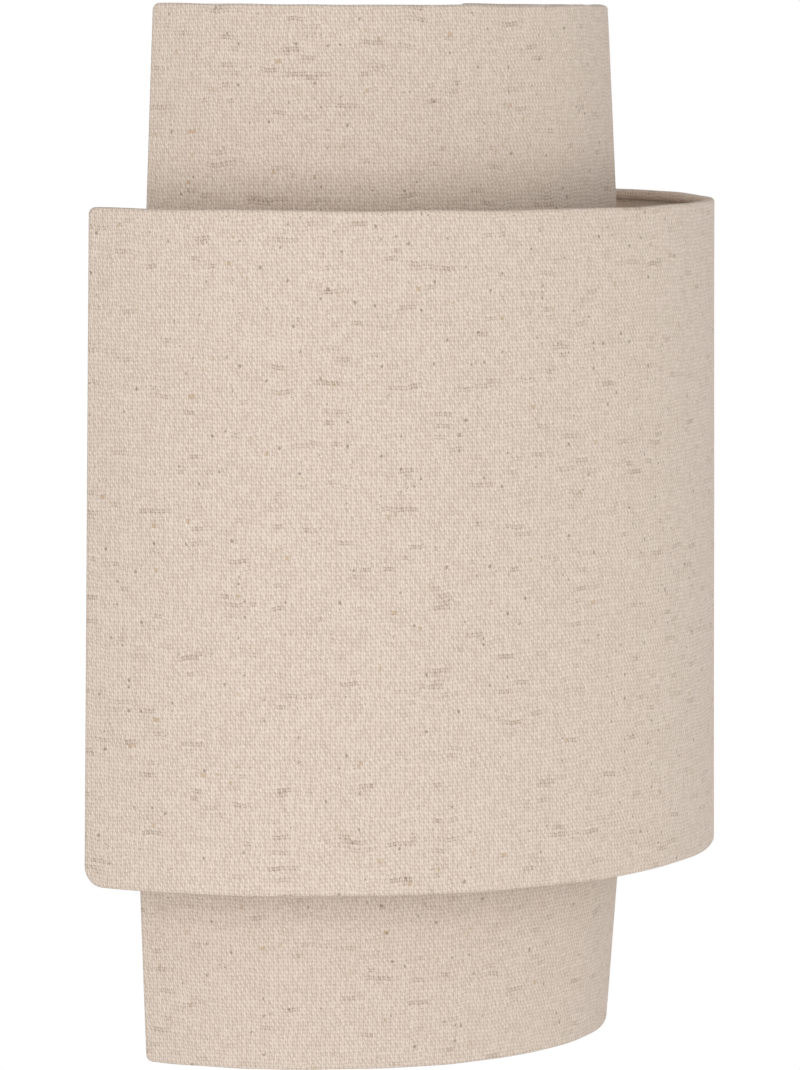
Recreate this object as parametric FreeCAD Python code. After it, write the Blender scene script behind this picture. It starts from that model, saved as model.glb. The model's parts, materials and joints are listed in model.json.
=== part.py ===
import FreeCAD, Part

# Half-round wall light with a tiered linen shade.
#
# Frame: +Z up, the wall is the plane Y = 0 and the light stands out towards -Y.
# The origin is the middle of the wall strap's back face, level with the middle of the outer shade.
# Lengths are in millimetres.
#
# Three bodies: the fitting on the wall, the shade that lifts off it, and the lamp that screws out.

import math
import os

Vector = FreeCAD.Vector
ORIGIN = Vector(0, 0, 0)
UP = Vector(0, 0, 1)
RIGHT = Vector(1, 0, 0)
TO_WALL = Vector(0, 1, 0)
OUT = Vector(0, -1, 0)
SIDES = (-1, 1)

# ---------------------------------------------------------------- shade tiers (outer face of the cloth)
OUTER_TOP_RADIUS = 150.0
OUTER_BOTTOM_RADIUS = 152.4
OUTER_HEIGHT = 241.0
UPPER_RIM_RADIUS = 109.5
UPPER_RIM_RISE = 71.5  # above the outer shade's top rim
LOWER_RIM_RADIUS = 112.5
LOWER_RIM_DROP = 69.5  # below the outer shade's bottom rim
KNEE_RADIUS = 122.4  # where the two halves of the inner shade meet
KNEE_DROP = 45.0  # below the middle of the outer shade
OUTER_FOOT_CORNER = 8.5  # rounding of the outer shade's lower corners at the wall
SHEET_CORNER = 2.2  # rounding of every other corner at the wall

# ---------------------------------------------------------------- cloth, liner and wires
CLOTH_THICKNESS = 0.5
LINER_THICKNESS = 0.6
GLUE_GAP = 0.12
WIRE_GAP = 0.2  # between a wire and the liner beside it
RIM_EDGE_RADIUS = 1.2  # fold of the cloth over the liner's edge
HEM_FLAT = 0.55  # share of a ring's radius that each flat of the rolled hem cuts off
RING_WIRE = 2.6
UPRIGHT_WIRE = 3.0
STRUT_WIRE = 3.0
WELD_GAP = 0.15  # between two wires that are welded end to flank
BENT_WIRE_FLATS = 8  # flats round a bent wire or lead
WALL_GAP = 0.5  # between the shade's back wires and the wall
STRUT_SETBACK = 25.0  # back struts, from the outer shade's rims
BACK_WIRE_SETBACK = 13.0  # back wires, from the inner shade's rims
RIB_ANGLE = 30.0  # front ribs, each side of straight ahead

# ---------------------------------------------------------------- hanging of the shade
HANGER_HEIGHT = 40.0  # middle of the hanger bar above the origin
HANGER_DEPTH = 16.0
HANGER_THICKNESS = 2.0
HANGER_BEND = 4.0
HANGER_FRONT_PLAY = 1.0  # between the bar and the hooks' tongues
HANGER_SIDE_CLEARANCE = 5.0  # between the bar's steps and the backplate's sides
HANGER_STEP = 16.0  # width of each step
HOOK_SPACING = 56.0
HOOK_WIDTH = 14.0
HOOK_THICKNESS = 1.5
HOOK_THROAT = 5.0
HOOK_LEG = 21.0
HOOK_TONGUE = 9.0
HOOK_BEND = 2.0
HOOK_SEAT_GAP = 0.1
RIVET_SHANK = 3.0
RIVET_HEAD = 5.4
RIVET_HEAD_HEIGHT = 1.4
RIVET_SPACING = 10.0
HOLE_CLEARANCE = 0.1  # each side of a shank in its hole
DOME_STEPS = 2  # turned steps of a domed head

# ---------------------------------------------------------------- backplate and wall strap
PLATE_WIDTH = 100.0
PLATE_HEIGHT = 160.0
PLATE_DEPTH = 22.0
PLATE_SHEET = 1.2
PLATE_CORNER = 14.0
PLATE_FOLD = 4.0
STRAP_LENGTH = 94.0
STRAP_WIDTH = 22.0
STRAP_THICKNESS = 2.0
SLOT_SPACING = 54.0
SLOT_LENGTH = 12.0
SLOT_WIDTH = 5.0
STUD_SPACING = 84.0
STUD_DIAMETER = 4.0
STUD_PROUD = 5.0  # beyond the backplate's front
CAP_NUT_FLATS = 7.0
CAP_NUT_HEX = 3.2
CAP_NUT_HEIGHT = 8.0
CAP_NUT_THREAD = 6.0

# ---------------------------------------------------------------- arm
ARM_WIDTH = 20.0
ARM_THICKNESS = 2.0
ARM_HEIGHT = -52.0  # top face of the arm, which the lampholder stands on
ARM_LEG = 32.0
ARM_BEND = 4.0
ARM_END = 13.0  # beyond the lampholder's axis
ARM_SCREW_SPACING = 14.0
ARM_SCREW_TOP_MARGIN = 8.0
SCREW_DIAMETER = 4.0
SCREW_HEAD = 8.0
SCREW_HEAD_HEIGHT = 2.6
NUT_FLATS = 7.0
NUT_THICKNESS = 3.2
SCREW_TAIL = 1.0
DRIVER_SLOT_WIDTH = 1.0
DRIVER_SLOT_DEPTH = 1.2

# ---------------------------------------------------------------- lampholder, axis upright
HOLDER_AXIS = 62.0  # from the wall
NIPPLE_DIAMETER = 9.9
NIPPLE_BORE = 7.6
NIPPLE_IN_CAP = 8.0
NIPPLE_BELOW = 7.0
NIPPLE_NUT_FLATS = 14.0
NIPPLE_NUT_THICKNESS = 3.6
CAP_FOOT_RADIUS = 9.5
HOLDER_RADIUS = 19.5
HOLDER_WALL = 2.0
CAP_HEIGHT = 20.0
CAP_BOSS_RADIUS = 7.4
CAP_SHOULDER = 7.0
SKIRT_HEIGHT = 34.0
SKIRT_LIP = 2.0
SKIRT_SPIGOT = 3.0
BLOCK_HEIGHT = 12.0
BLOCK_BELOW_JOINT = 7.0  # how far the contact block reaches down into the cap
SHELL_RADIUS = 13.4  # inside of the screw shell
SHELL_THICKNESS = 0.5
SHELL_FLANGE = 2.4
THREAD_GAP = 0.3
CONTACT_WIDTH = 6.0
CONTACT_THICKNESS = 0.5
CONTACT_RISE = 3.0
CONTACT_REACH = 8.0
FIT_GAP = 0.1  # between moulded parts that sit in one another

# ---------------------------------------------------------------- lamp
LAMP_RADIUS = 30.0
LAMP_CAP_HEIGHT = 24.0
LAMP_CAP_WALL = 0.5
LAMP_NECK_RADIUS = 14.0
LAMP_BODY_HEIGHT = 42.0
LAMP_BODY_STEPS = 2
LAMP_BODY_FLARE = 1.3  # power by which the body widens
DIFFUSER_STEPS = 4
LAMP_WALL = 1.2
INSULATOR_HEIGHT = 4.0
INSULATOR_TOP_RADIUS = 10.5
INSULATOR_FOOT_RADIUS = 5.5
FOOT_CONTACT_RADIUS = 4.5
FOOT_CONTACT_HEIGHT = 1.5
BOARD_THICKNESS = 1.6
CHIP_COUNT = 9
CHIP_SIZE = 2.8
CHIP_HEIGHT = 0.8
CHIP_CIRCLE = 14.0

# ---------------------------------------------------------------- wiring
LEAD_DIAMETER = 2.2
LEAD_SPACING = 2.8
LEAD_BEND = 9.0
LEAD_HEIGHT = -69.0  # where the leads leave the backplate
BUSH_BORE = 7.2
BUSH_NECK = 9.0
BUSH_FLANGE = 12.0
BUSH_FLANGE_HEIGHT = 1.6
TERMINAL_PITCH = 10.0
TERMINAL_WAYS = 3
TERMINAL_LENGTH = 18.0
TERMINAL_DEPTH = 13.0
TERMINAL_ENTRY = 3.2
TERMINAL_ENTRY_DEPTH = 6.0
TERMINAL_FIX_DIAMETER = 3.0
TERMINAL_X = -27.0
TERMINAL_Z = -38.0
TERMINAL_SCREW = 3.4
TERMINAL_SCREW_SPACING = 10.0
TERMINAL_SCREW_DEPTH = 5.0
EARTH_X = -8.0
LUG_RADIUS = 4.2
LUG_THICKNESS = 0.8
LUG_BARREL = 3.6
LUG_BARREL_LENGTH = 6.0
LUG_NECK = 2.0

# ---------------------------------------------------------------- values worked out from those above
OUTER_TOP = OUTER_HEIGHT / 2
OUTER_BOTTOM = -OUTER_HEIGHT / 2
UPPER_RIM = OUTER_TOP + UPPER_RIM_RISE
LOWER_RIM = OUTER_BOTTOM - LOWER_RIM_DROP
KNEE = -KNEE_DROP
LINER_OFFSET = CLOTH_THICKNESS + GLUE_GAP  # from the cloth's face to the liner's
WALL_BUILDUP = LINER_OFFSET + LINER_THICKNESS
HEM_HEIGHT = RING_WIRE + 2 * (CLOTH_THICKNESS + GLUE_GAP)
HEM_DEPTH = WALL_BUILDUP + WIRE_GAP + RING_WIRE + GLUE_GAP + CLOTH_THICKNESS
RING_INSET = HEM_DEPTH - HEM_HEIGHT / 2  # from the cloth's face to a rim ring's centre
UPRIGHT_INSET = WALL_GAP + UPRIGHT_WIRE / 2  # from the wall to the uprights' centres
SHEET_EDGE = WALL_GAP + UPRIGHT_WIRE + 2 * GLUE_GAP  # from the wall to the cloth's and liners' edges
PLATE_FRONT = -PLATE_DEPTH
PLATE_INNER_FACE = PLATE_FRONT + PLATE_SHEET
HANGER_BOTTOM = HANGER_HEIGHT - HANGER_DEPTH / 2
HANGER_FACE = PLATE_FRONT - HOOK_THROAT + HANGER_FRONT_PLAY  # the bar's front face
ARM_UNDERSIDE = ARM_HEIGHT - ARM_THICKNESS
HOLDER_JOINT = ARM_HEIGHT + CAP_HEIGHT
HOLDER_TOP = HOLDER_JOINT + SKIRT_HEIGHT
BLOCK_BOTTOM = HOLDER_JOINT - BLOCK_BELOW_JOINT
BLOCK_TOP = BLOCK_BOTTOM + BLOCK_HEIGHT
CONTACT_TOP = BLOCK_TOP + CONTACT_RISE
LAMP_FOOT = CONTACT_TOP + THREAD_GAP
LAMP_CAP_BOTTOM = LAMP_FOOT + FOOT_CONTACT_HEIGHT + INSULATOR_HEIGHT
LAMP_CAP_TOP = LAMP_CAP_BOTTOM + LAMP_CAP_HEIGHT
LAMP_CAP_RADIUS = SHELL_RADIUS - THREAD_GAP
LAMP_WAIST = LAMP_CAP_TOP + LAMP_BODY_HEIGHT  # where the lamp's body meets its diffuser
HOLDER_CENTRE = Vector(0, -HOLDER_AXIS, 0)


# ---------------------------------------------------------------- shape helpers
def rounded_path(points, radii):
    """Wire through the points, with a tangent arc at each inner point whose radius isn't zero."""
    edges = []
    start = points[0]
    for corner, after, radius in zip(points[1:], points[2:], radii):
        before_direction = (corner - start).normalize()
        after_direction = (after - corner).normalize()
        turn = before_direction.getAngle(after_direction)
        setback = radius * math.tan(turn / 2)
        arc_start = corner - before_direction * setback
        arc_end = corner + after_direction * setback
        towards_centre = (after_direction - before_direction).normalize()
        bulge = radius / math.cos(turn / 2) - radius
        arc_middle = corner + towards_centre * bulge
        if arc_start.distanceToPoint(start) > Part.Precision.confusion():
            edges.append(Part.LineSegment(start, arc_start).toShape())
        if radius:
            edges.append(Part.Arc(arc_start, arc_middle, arc_end).toShape())
        start = arc_end
    if points[-1].distanceToPoint(start) > Part.Precision.confusion():
        edges.append(Part.LineSegment(start, points[-1]).toShape())
    return Part.Wire(edges)


def polygon_face(points):
    """Flat face with straight sides through the points."""
    return Part.Face(Part.makePolygon(points + [points[0]]))


def swing(face):
    """Turns a profile at +X half way round the upright axis, through the front to -X."""
    return face.revolve(ORIGIN, Vector(0, 0, -1), 180)


def lathe(points):
    """Solid of revolution about the lampholder's axis, from (radius, height) points."""
    face = polygon_face([Vector(radius, 0, height) for radius, height in points])
    solid = face.revolve(ORIGIN, UP, 360)
    solid.translate(HOLDER_CENTRE)
    return solid


def wire_section(centre, direction, diameter):
    """Section of a bent wire or lead, drawn as a regular figure with a few flats."""
    across = direction.cross(UP)
    if across.Length < Part.Precision.confusion():
        across = RIGHT
    across = across.normalize()
    other = direction.cross(across).normalize()
    points = []
    for step in range(BENT_WIRE_FLATS):
        angle = 2 * math.pi * (step + 0.5) / BENT_WIRE_FLATS
        radius = diameter / 2 / math.cos(math.pi / BENT_WIRE_FLATS)
        points.append(centre + across * (radius * math.cos(angle)) + other * (radius * math.sin(angle)))
    return polygon_face(points)


def tube(path, diameter):
    """Bent wire along a path of straight runs and tangent arcs, one solid run or bend after another."""
    place = path.OrderedVertexes[0].Point
    solids = []
    section = None
    for edge in path.OrderedEdges:
        ends = [edge.valueAt(edge.FirstParameter), edge.valueAt(edge.LastParameter)]
        parameters = [edge.FirstParameter, edge.LastParameter]
        if ends[0].distanceToPoint(place) > ends[1].distanceToPoint(place):
            ends.reverse()
            parameters.reverse()
        place = ends[1]
        direction = edge.tangentAt(parameters[0]) * (1 if parameters[1] > parameters[0] else -1)
        if section is None:
            section = wire_section(ends[0], direction, diameter)
        if edge.Curve.TypeId == "Part::GeomCircle":
            centre = edge.Curve.Center
            axis = (ends[0] - centre).cross(direction).normalize()
            angle = math.degrees(edge.Length / edge.Curve.Radius)
            solids.append(section.revolve(centre, axis, angle))
            section.rotate(centre, axis, angle)
        else:
            run = ends[1] - ends[0]
            solids.append(section.extrude(run))
            section.translate(run)
    return solids[0].fuse(solids[1:]).removeSplitter()


def rod(start, end, diameter):
    """Straight round rod between two points."""
    run = end - start
    return Part.makeCylinder(diameter / 2, run.Length, start, run)


def out_rod(x, z, y_start, y_end, diameter):
    """Straight round rod that points away from the wall."""
    return rod(Vector(x, y_start, z), Vector(x, y_end, z), diameter)


def hexagon(x, z, y_start, y_end, flats):
    """Hexagonal prism that points away from the wall."""
    corner = flats / math.sqrt(3)
    points = []
    for step in range(6):
        angle = math.radians(60 * step)
        points.append(Vector(x + corner * math.cos(angle), y_start, z + corner * math.sin(angle)))
    return polygon_face(points).extrude(Vector(0, y_end - y_start, 0))


def bent_strip(points, radii, thickness, width, across):
    """Flat strip of even thickness folded along a path, and as wide as given in the across direction."""
    section = rounded_path(points, radii).makeOffset2D(thickness, 0, True, True, False)
    section.translate(across * (-width / 2))
    return section.extrude(across * width)


def group(solids):
    """Several separate solids of one kind in one node."""
    return Part.makeCompound(solids)


# ---------------------------------------------------------------- shade: cloth and liners
def cloth_radius(low, high, height):
    """Radius of a tier's cloth face at a height, between its (radius, height) ends."""
    share = (height - low[1]) / (high[1] - low[1])
    return low[0] + (high[0] - low[0]) * share


OUTER_ENDS = ((OUTER_BOTTOM_RADIUS, OUTER_BOTTOM), (OUTER_TOP_RADIUS, OUTER_TOP))
UPPER_ENDS = ((KNEE_RADIUS, KNEE), (UPPER_RIM_RADIUS, UPPER_RIM))
LOWER_ENDS = ((LOWER_RIM_RADIUS, LOWER_RIM), (KNEE_RADIUS, KNEE))


def wall_clip(bottom, top, bottom_corner, top_corner):
    """Block in front of the sheets' edges at the wall, with the rounded corners of those edges."""
    reach = 2 * OUTER_BOTTOM_RADIUS
    points = [
        Vector(-reach, -reach, bottom),
        Vector(-reach, -SHEET_EDGE, bottom),
        Vector(-reach, -SHEET_EDGE, top),
        Vector(-reach, -reach, top),
    ]
    outline = rounded_path(points, [bottom_corner, top_corner])
    closing = Part.LineSegment(points[-1], points[0]).toShape()
    face = Part.Face(Part.Wire(outline.Edges + [closing]))
    return face.extrude(RIGHT * (2 * reach))


def hem_path(ends, height, inward, inset):
    """Points of the cloth's path as it rolls over a rim and back under the rim's ring.

    The inset moves the path from the cloth's outer face towards its inner one. Each turn is drawn as one
    flat whose ends lie the fold's radius from the corner.
    """
    radius = cloth_radius(*ends, height)
    fold_start = height + inward * RIM_EDGE_RADIUS
    top = height + inward * inset
    inside = radius - HEM_DEPTH + inset
    bottom = height + inward * (HEM_HEIGHT - inset)
    roll = RING_WIRE / 2 * HEM_FLAT
    path = [(cloth_radius(*ends, fold_start) - inset, fold_start), (radius - RIM_EDGE_RADIUS, top)]
    path += [(inside + roll, top), (inside, top + inward * roll)]
    path += [(inside, bottom - inward * roll), (inside + roll, bottom)]
    path.append((radius - WALL_BUILDUP - WIRE_GAP, bottom))
    return [Vector(x, 0, z) for x, z in path]


def cover(ends, has_low_hem, has_high_hem, low_corner, high_corner):
    """Linen of one tier: a half cone whose free rims roll over their rings."""
    (_, low), (_, high) = ends
    gap = UPRIGHT_WIRE / 2 + GLUE_GAP
    low += 0 if has_low_hem else gap
    high -= 0 if has_high_hem else gap
    faces = []
    for inset in (0, CLOTH_THICKNESS):
        low_path = [Vector(cloth_radius(*ends, low) - inset, 0, low)]
        high_path = [Vector(cloth_radius(*ends, high) - inset, 0, high)]
        if has_low_hem:
            low_path = list(reversed(hem_path(ends, low, 1, inset)))
        if has_high_hem:
            high_path = hem_path(ends, high, -1, inset)
        faces.append(low_path + high_path)
    section = polygon_face(faces[0] + list(reversed(faces[1])))
    return swing(section).common(wall_clip(low, high, low_corner, high_corner))


def liner(ends, has_low_hem, has_high_hem, low_corner, high_corner):
    """Stiff laminate under one tier's linen."""
    (_, low), (_, high) = ends
    gap = UPRIGHT_WIRE / 2 + GLUE_GAP
    low += RIM_EDGE_RADIUS if has_low_hem else gap
    high -= RIM_EDGE_RADIUS if has_high_hem else gap
    outside = [(cloth_radius(*ends, height) - LINER_OFFSET, height) for height in (low, high)]
    points = [Vector(radius, 0, height) for radius, height in outside]
    points += [Vector(radius - LINER_THICKNESS, 0, height) for radius, height in reversed(outside)]
    return swing(polygon_face(points)).common(wall_clip(low, high, low_corner, high_corner))


# ---------------------------------------------------------------- shade: wires
def ring_arc(radius, height, wire, end_gap):
    """Half hoop of round wire whose ends stop short of the wall by the end gap."""
    start_angle = math.asin(end_gap / radius)
    section = wire_section(Vector(radius, 0, height), TO_WALL, wire)
    section.rotate(ORIGIN, UP, -math.degrees(start_angle))
    return section.revolve(ORIGIN, Vector(0, 0, -1), 180 - 2 * math.degrees(start_angle))


def upright_point(radius, height, side):
    """Point on an upright's centre line, where its ring or tier has the given centre radius."""
    return Vector(side * math.sqrt(radius ** 2 - UPRIGHT_INSET ** 2), -UPRIGHT_INSET, height)


def outer_upright(side):
    """Upright of the outer shade, whose foot bends forward round the sheet's corner to meet the ring."""
    ring_radius = OUTER_BOTTOM_RADIUS - RING_INSET
    ring_height = OUTER_BOTTOM + HEM_HEIGHT / 2
    bend = OUTER_FOOT_CORNER - LINER_OFFSET - RING_WIRE / 2
    swing_angle = math.atan(bend / ring_radius) + math.asin(UPRIGHT_INSET / math.hypot(ring_radius, bend))
    tangent = Vector(side * math.sin(swing_angle), math.cos(swing_angle), 0)
    outward = Vector(side * math.cos(swing_angle), -math.sin(swing_angle), 0)
    ring_end = outward * ring_radius + UP * ring_height
    corner = ring_end + tangent * bend
    head_height = OUTER_TOP - HEM_HEIGHT / 2 - RING_WIRE / 2 - WELD_GAP
    head = upright_point(OUTER_TOP_RADIUS - RING_INSET, head_height, side)
    turn = tangent.getAngle(head - corner)
    path = rounded_path([ring_end, corner, head], [bend / math.tan(turn / 2)])
    return tube(path, UPRIGHT_WIRE), -ring_end.y


def inner_upright(ends, side):
    """Straight upright along the edge of one half of the inner shade."""
    (low_radius, low), (high_radius, high) = ends
    margin = UPRIGHT_WIRE / 2 + WELD_GAP
    rim_margin = HEM_HEIGHT / 2 + RING_WIRE / 2 + WELD_GAP
    start_height = low + (rim_margin if low == LOWER_RIM else margin)
    end_height = high - (rim_margin if high == UPPER_RIM else margin)
    heights = (start_height, end_height)
    points = [upright_point(cloth_radius(*ends, height) - RING_INSET, height, side) for height in heights]
    return rod(points[0], points[1], UPRIGHT_WIRE)


def inner_upright_x(height):
    """Distance from the middle to an inner upright's centre line at a height."""
    ends = UPPER_ENDS if height > KNEE else LOWER_ENDS
    return upright_point(cloth_radius(*ends, height) - RING_INSET, height, 1).x


def outer_upright_x(height):
    """Distance from the middle to an outer upright's centre line at a height."""
    return upright_point(cloth_radius(*OUTER_ENDS, height) - RING_INSET, height, 1).x


def back_wire(height):
    """Straight wire across the back of the inner shade, between its uprights."""
    reach = inner_upright_x(height) - UPRIGHT_WIRE / 2 - WELD_GAP
    return rod(Vector(-reach, -UPRIGHT_INSET, height), Vector(reach, -UPRIGHT_INSET, height), STRUT_WIRE)


def back_strut(height, side):
    """Short wire at the wall that ties an outer upright to an inner one."""
    margin = UPRIGHT_WIRE / 2 + WELD_GAP
    inner = Vector(side * (inner_upright_x(height) + margin), -UPRIGHT_INSET, height)
    outer = Vector(side * (outer_upright_x(height) - margin), -UPRIGHT_INSET, height)
    return rod(inner, outer, STRUT_WIRE)


def rib_inset():
    """From the outer cloth's face to a front rib's centre."""
    return WALL_BUILDUP + WIRE_GAP + UPRIGHT_WIRE / 2


def front_point(radius, height, side):
    """Point at a front rib's plan angle."""
    angle = math.radians(RIB_ANGLE)
    return Vector(side * radius * math.sin(angle), -radius * math.cos(angle), height)


def front_rib(side):
    """Upright rib inside the outer liner, between its two hems."""
    slope = (OUTER_BOTTOM_RADIUS - OUTER_TOP_RADIUS) / OUTER_HEIGHT
    margin = HEM_HEIGHT + UPRIGHT_WIRE / 2 * slope + WELD_GAP
    heights = (OUTER_BOTTOM + margin, OUTER_TOP - margin)
    radii = [cloth_radius(*OUTER_ENDS, height) - rib_inset() for height in heights]
    ends = [front_point(radius, height, side) for radius, height in zip(radii, heights)]
    return rod(ends[0], ends[1], UPRIGHT_WIRE)


def front_spoke(side):
    """Level spoke from the knee ring out to a front rib."""
    margin = UPRIGHT_WIRE / 2 + WELD_GAP
    outer_radius = cloth_radius(*OUTER_ENDS, KNEE) - rib_inset() - margin
    inner = front_point(KNEE_RADIUS + WELD_GAP, KNEE, side)
    return rod(inner, front_point(outer_radius, KNEE, side), STRUT_WIRE)


def hanger_bar():
    """Flat bar across the back, welded to the inner uprights and stepped forward round the backplate."""
    end = inner_upright_x(HANGER_HEIGHT)
    front = -UPRIGHT_INSET - UPRIGHT_WIRE / 2 - WELD_GAP - HANGER_THICKNESS
    step_start = PLATE_WIDTH / 2 + HANGER_SIDE_CLEARANCE
    step_end = step_start + HANGER_STEP
    points = [
        Vector(end, front, HANGER_HEIGHT),
        Vector(step_end, front, HANGER_HEIGHT),
        Vector(step_start, HANGER_FACE, HANGER_HEIGHT),
        Vector(-step_start, HANGER_FACE, HANGER_HEIGHT),
        Vector(-step_end, front, HANGER_HEIGHT),
        Vector(-end, front, HANGER_HEIGHT),
    ]
    bends = [HANGER_BEND] * 4
    return bent_strip(points, bends, HANGER_THICKNESS, HANGER_DEPTH, UP)


# ---------------------------------------------------------------- fitting on the wall
def wall_strap():
    """Steel strap against the wall, with a slot each side for the wall screws and holes for the studs."""
    corner = Vector(-STRAP_LENGTH / 2, -STRAP_THICKNESS, -STRAP_WIDTH / 2)
    strap = Part.makeBox(STRAP_LENGTH, STRAP_THICKNESS, STRAP_WIDTH, corner)
    short_edges = [edge for edge in strap.Edges if edge.BoundBox.YLength > STRAP_THICKNESS / 2]
    strap = strap.makeFillet(STRAP_THICKNESS, short_edges)
    for side in SIDES:
        strap = strap.cut(slot_cutter(side * SLOT_SPACING / 2))
        stud_hole = out_rod(side * STUD_SPACING / 2, 0, 0, -STRAP_THICKNESS, STUD_DIAMETER + 2 * GLUE_GAP)
        strap = strap.cut(stud_hole)
    return strap.cut(out_rod(EARTH_X, 0, 0, -STRAP_THICKNESS, SCREW_DIAMETER + 2 * GLUE_GAP))


def slot_cutter(x):
    """Round-ended slot through the strap, lying level."""
    half_run = (SLOT_LENGTH - SLOT_WIDTH) / 2
    corner = Vector(x - half_run, -STRAP_THICKNESS, -SLOT_WIDTH / 2)
    run = Part.makeBox(2 * half_run, STRAP_THICKNESS, SLOT_WIDTH, corner)
    for side in SIDES:
        run = run.fuse(out_rod(x + side * half_run, 0, 0, -STRAP_THICKNESS, SLOT_WIDTH))
    return run.removeSplitter()


def backplate():
    """Pressed steel pan, open to the wall, with folded front edges and the holes that its fittings need."""
    outer = rounded_pan(0)
    inner = rounded_pan(PLATE_SHEET)
    pan = outer.cut(inner)
    for x, z, diameter in backplate_holes():
        pan = pan.cut(out_rod(x, z, PLATE_INNER_FACE + GLUE_GAP, PLATE_FRONT - GLUE_GAP, diameter))
    return pan


def rounded_pan(inset):
    """Solid block with the pan's rounded corners and folded front edge, inset by the sheet's thickness."""
    half_width = PLATE_WIDTH / 2 - inset
    half_height = PLATE_HEIGHT / 2 - inset
    points = [
        Vector(0, 0, half_height),
        Vector(half_width, 0, half_height),
        Vector(half_width, 0, -half_height),
        Vector(-half_width, 0, -half_height),
        Vector(-half_width, 0, half_height),
        Vector(0, 0, half_height),
    ]
    outline = rounded_path(points, [PLATE_CORNER - inset] * 4)
    block = Part.Face(outline).extrude(OUT * (PLATE_DEPTH - inset))
    front = -(PLATE_DEPTH - inset)
    front_edges = [edge for edge in block.Edges if edge.BoundBox.YMax < front / 2]
    return block.makeChamfer(PLATE_FOLD - inset * math.tan(math.pi / 8), front_edges)


def backplate_holes():
    """(x, z, diameter) of every hole in the backplate's front."""
    holes = [(side * STUD_SPACING / 2, 0, STUD_DIAMETER + 2 * HOLE_CLEARANCE) for side in SIDES]
    holes += [(x, z, RIVET_SHANK + 2 * HOLE_CLEARANCE) for x, z in rivet_places()]
    holes += [(0, z, SCREW_DIAMETER + 2 * HOLE_CLEARANCE) for z in arm_screw_heights()]
    holes.append((0, LEAD_HEIGHT, BUSH_NECK + 2 * GLUE_GAP))
    holes.append((TERMINAL_X, TERMINAL_Z, TERMINAL_FIX_DIAMETER + 2 * HOLE_CLEARANCE))
    return holes


def strap_stud(side):
    """Threaded stud fixed in the strap and long enough to take a cap nut in front of the backplate."""
    return out_rod(side * STUD_SPACING / 2, 0, 0, PLATE_FRONT - STUD_PROUD, STUD_DIAMETER)


def cap_nut(side):
    """Domed nut on the backplate's front."""
    x = side * STUD_SPACING / 2
    base = PLATE_FRONT - GLUE_GAP
    nut = hexagon(x, 0, base, base - CAP_NUT_HEX, CAP_NUT_FLATS)
    dome_radius = CAP_NUT_FLATS / 2 - HOLE_CLEARANCE
    dome_start = base - CAP_NUT_HEIGHT + dome_radius
    neck = out_rod(x, 0, base - CAP_NUT_HEX, dome_start, 2 * dome_radius)
    nut = nut.fuse([neck, domed_head(x, 0, dome_start, 2 * dome_radius, dome_radius)]).removeSplitter()
    return nut.cut(out_rod(x, 0, base, base - CAP_NUT_THREAD, STUD_DIAMETER + 2 * GLUE_GAP))


def hook(side):
    """J-shaped strip riveted to the backplate, with its throat open upwards."""
    x = side * HOOK_SPACING / 2
    shelf = HANGER_BOTTOM - HOOK_SEAT_GAP
    back = PLATE_FRONT - GLUE_GAP
    points = [
        Vector(x, PLATE_FRONT - HOOK_THROAT, shelf + HOOK_TONGUE),
        Vector(x, PLATE_FRONT - HOOK_THROAT, shelf),
        Vector(x, back, shelf),
        Vector(x, back, shelf - HOOK_LEG),
    ]
    inner_bend = HOOK_BEND - HOOK_THICKNESS
    strip = bent_strip(points, [inner_bend, HOOK_BEND], HOOK_THICKNESS, HOOK_WIDTH, RIGHT)
    for rivet_x, z in rivet_places():
        hole = out_rod(rivet_x, z, PLATE_FRONT, PLATE_FRONT - HOOK_THROAT, RIVET_SHANK + 2 * HOLE_CLEARANCE)
        strip = strip.cut(hole)
    return strip


def rivet_places():
    """(x, z) of the hooks' rivets."""
    middle = HANGER_BOTTOM - HOOK_SEAT_GAP - HOOK_LEG / 2 - HOOK_THICKNESS / 2
    heights = [middle + side * RIVET_SPACING / 2 for side in SIDES]
    return [(side * HOOK_SPACING / 2, z) for side in SIDES for z in heights]


def rivet(x, z):
    """Domed rivet through a hook and the backplate, clenched inside."""
    face = PLATE_FRONT - HOOK_THICKNESS - 2 * GLUE_GAP
    tail = PLATE_INNER_FACE + GLUE_GAP
    shank = out_rod(x, z, tail, face, RIVET_SHANK)
    clench = out_rod(x, z, tail + RIVET_HEAD_HEIGHT / 2, tail, RIVET_HEAD)
    return shank.fuse([clench, domed_head(x, z, face, RIVET_HEAD, RIVET_HEAD_HEIGHT)]).removeSplitter()


def domed_head(x, z, y_start, diameter, height):
    """Low domed head that stands out from the wall side."""
    points = [ORIGIN]
    for step in range(DOME_STEPS + 1):
        angle = math.pi / 2 * step / DOME_STEPS
        points.append(Vector(diameter / 2 * math.cos(angle), 0, height * math.sin(angle)))
    head = polygon_face(points).revolve(ORIGIN, UP, 360)
    head.rotate(ORIGIN, RIGHT, 90)
    head.translate(Vector(x, y_start, z))
    return head


def arm_screw_heights():
    """Heights of the two screws that hold the arm."""
    top = ARM_UNDERSIDE + ARM_LEG - ARM_SCREW_TOP_MARGIN
    return (top, top - ARM_SCREW_SPACING)


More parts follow.
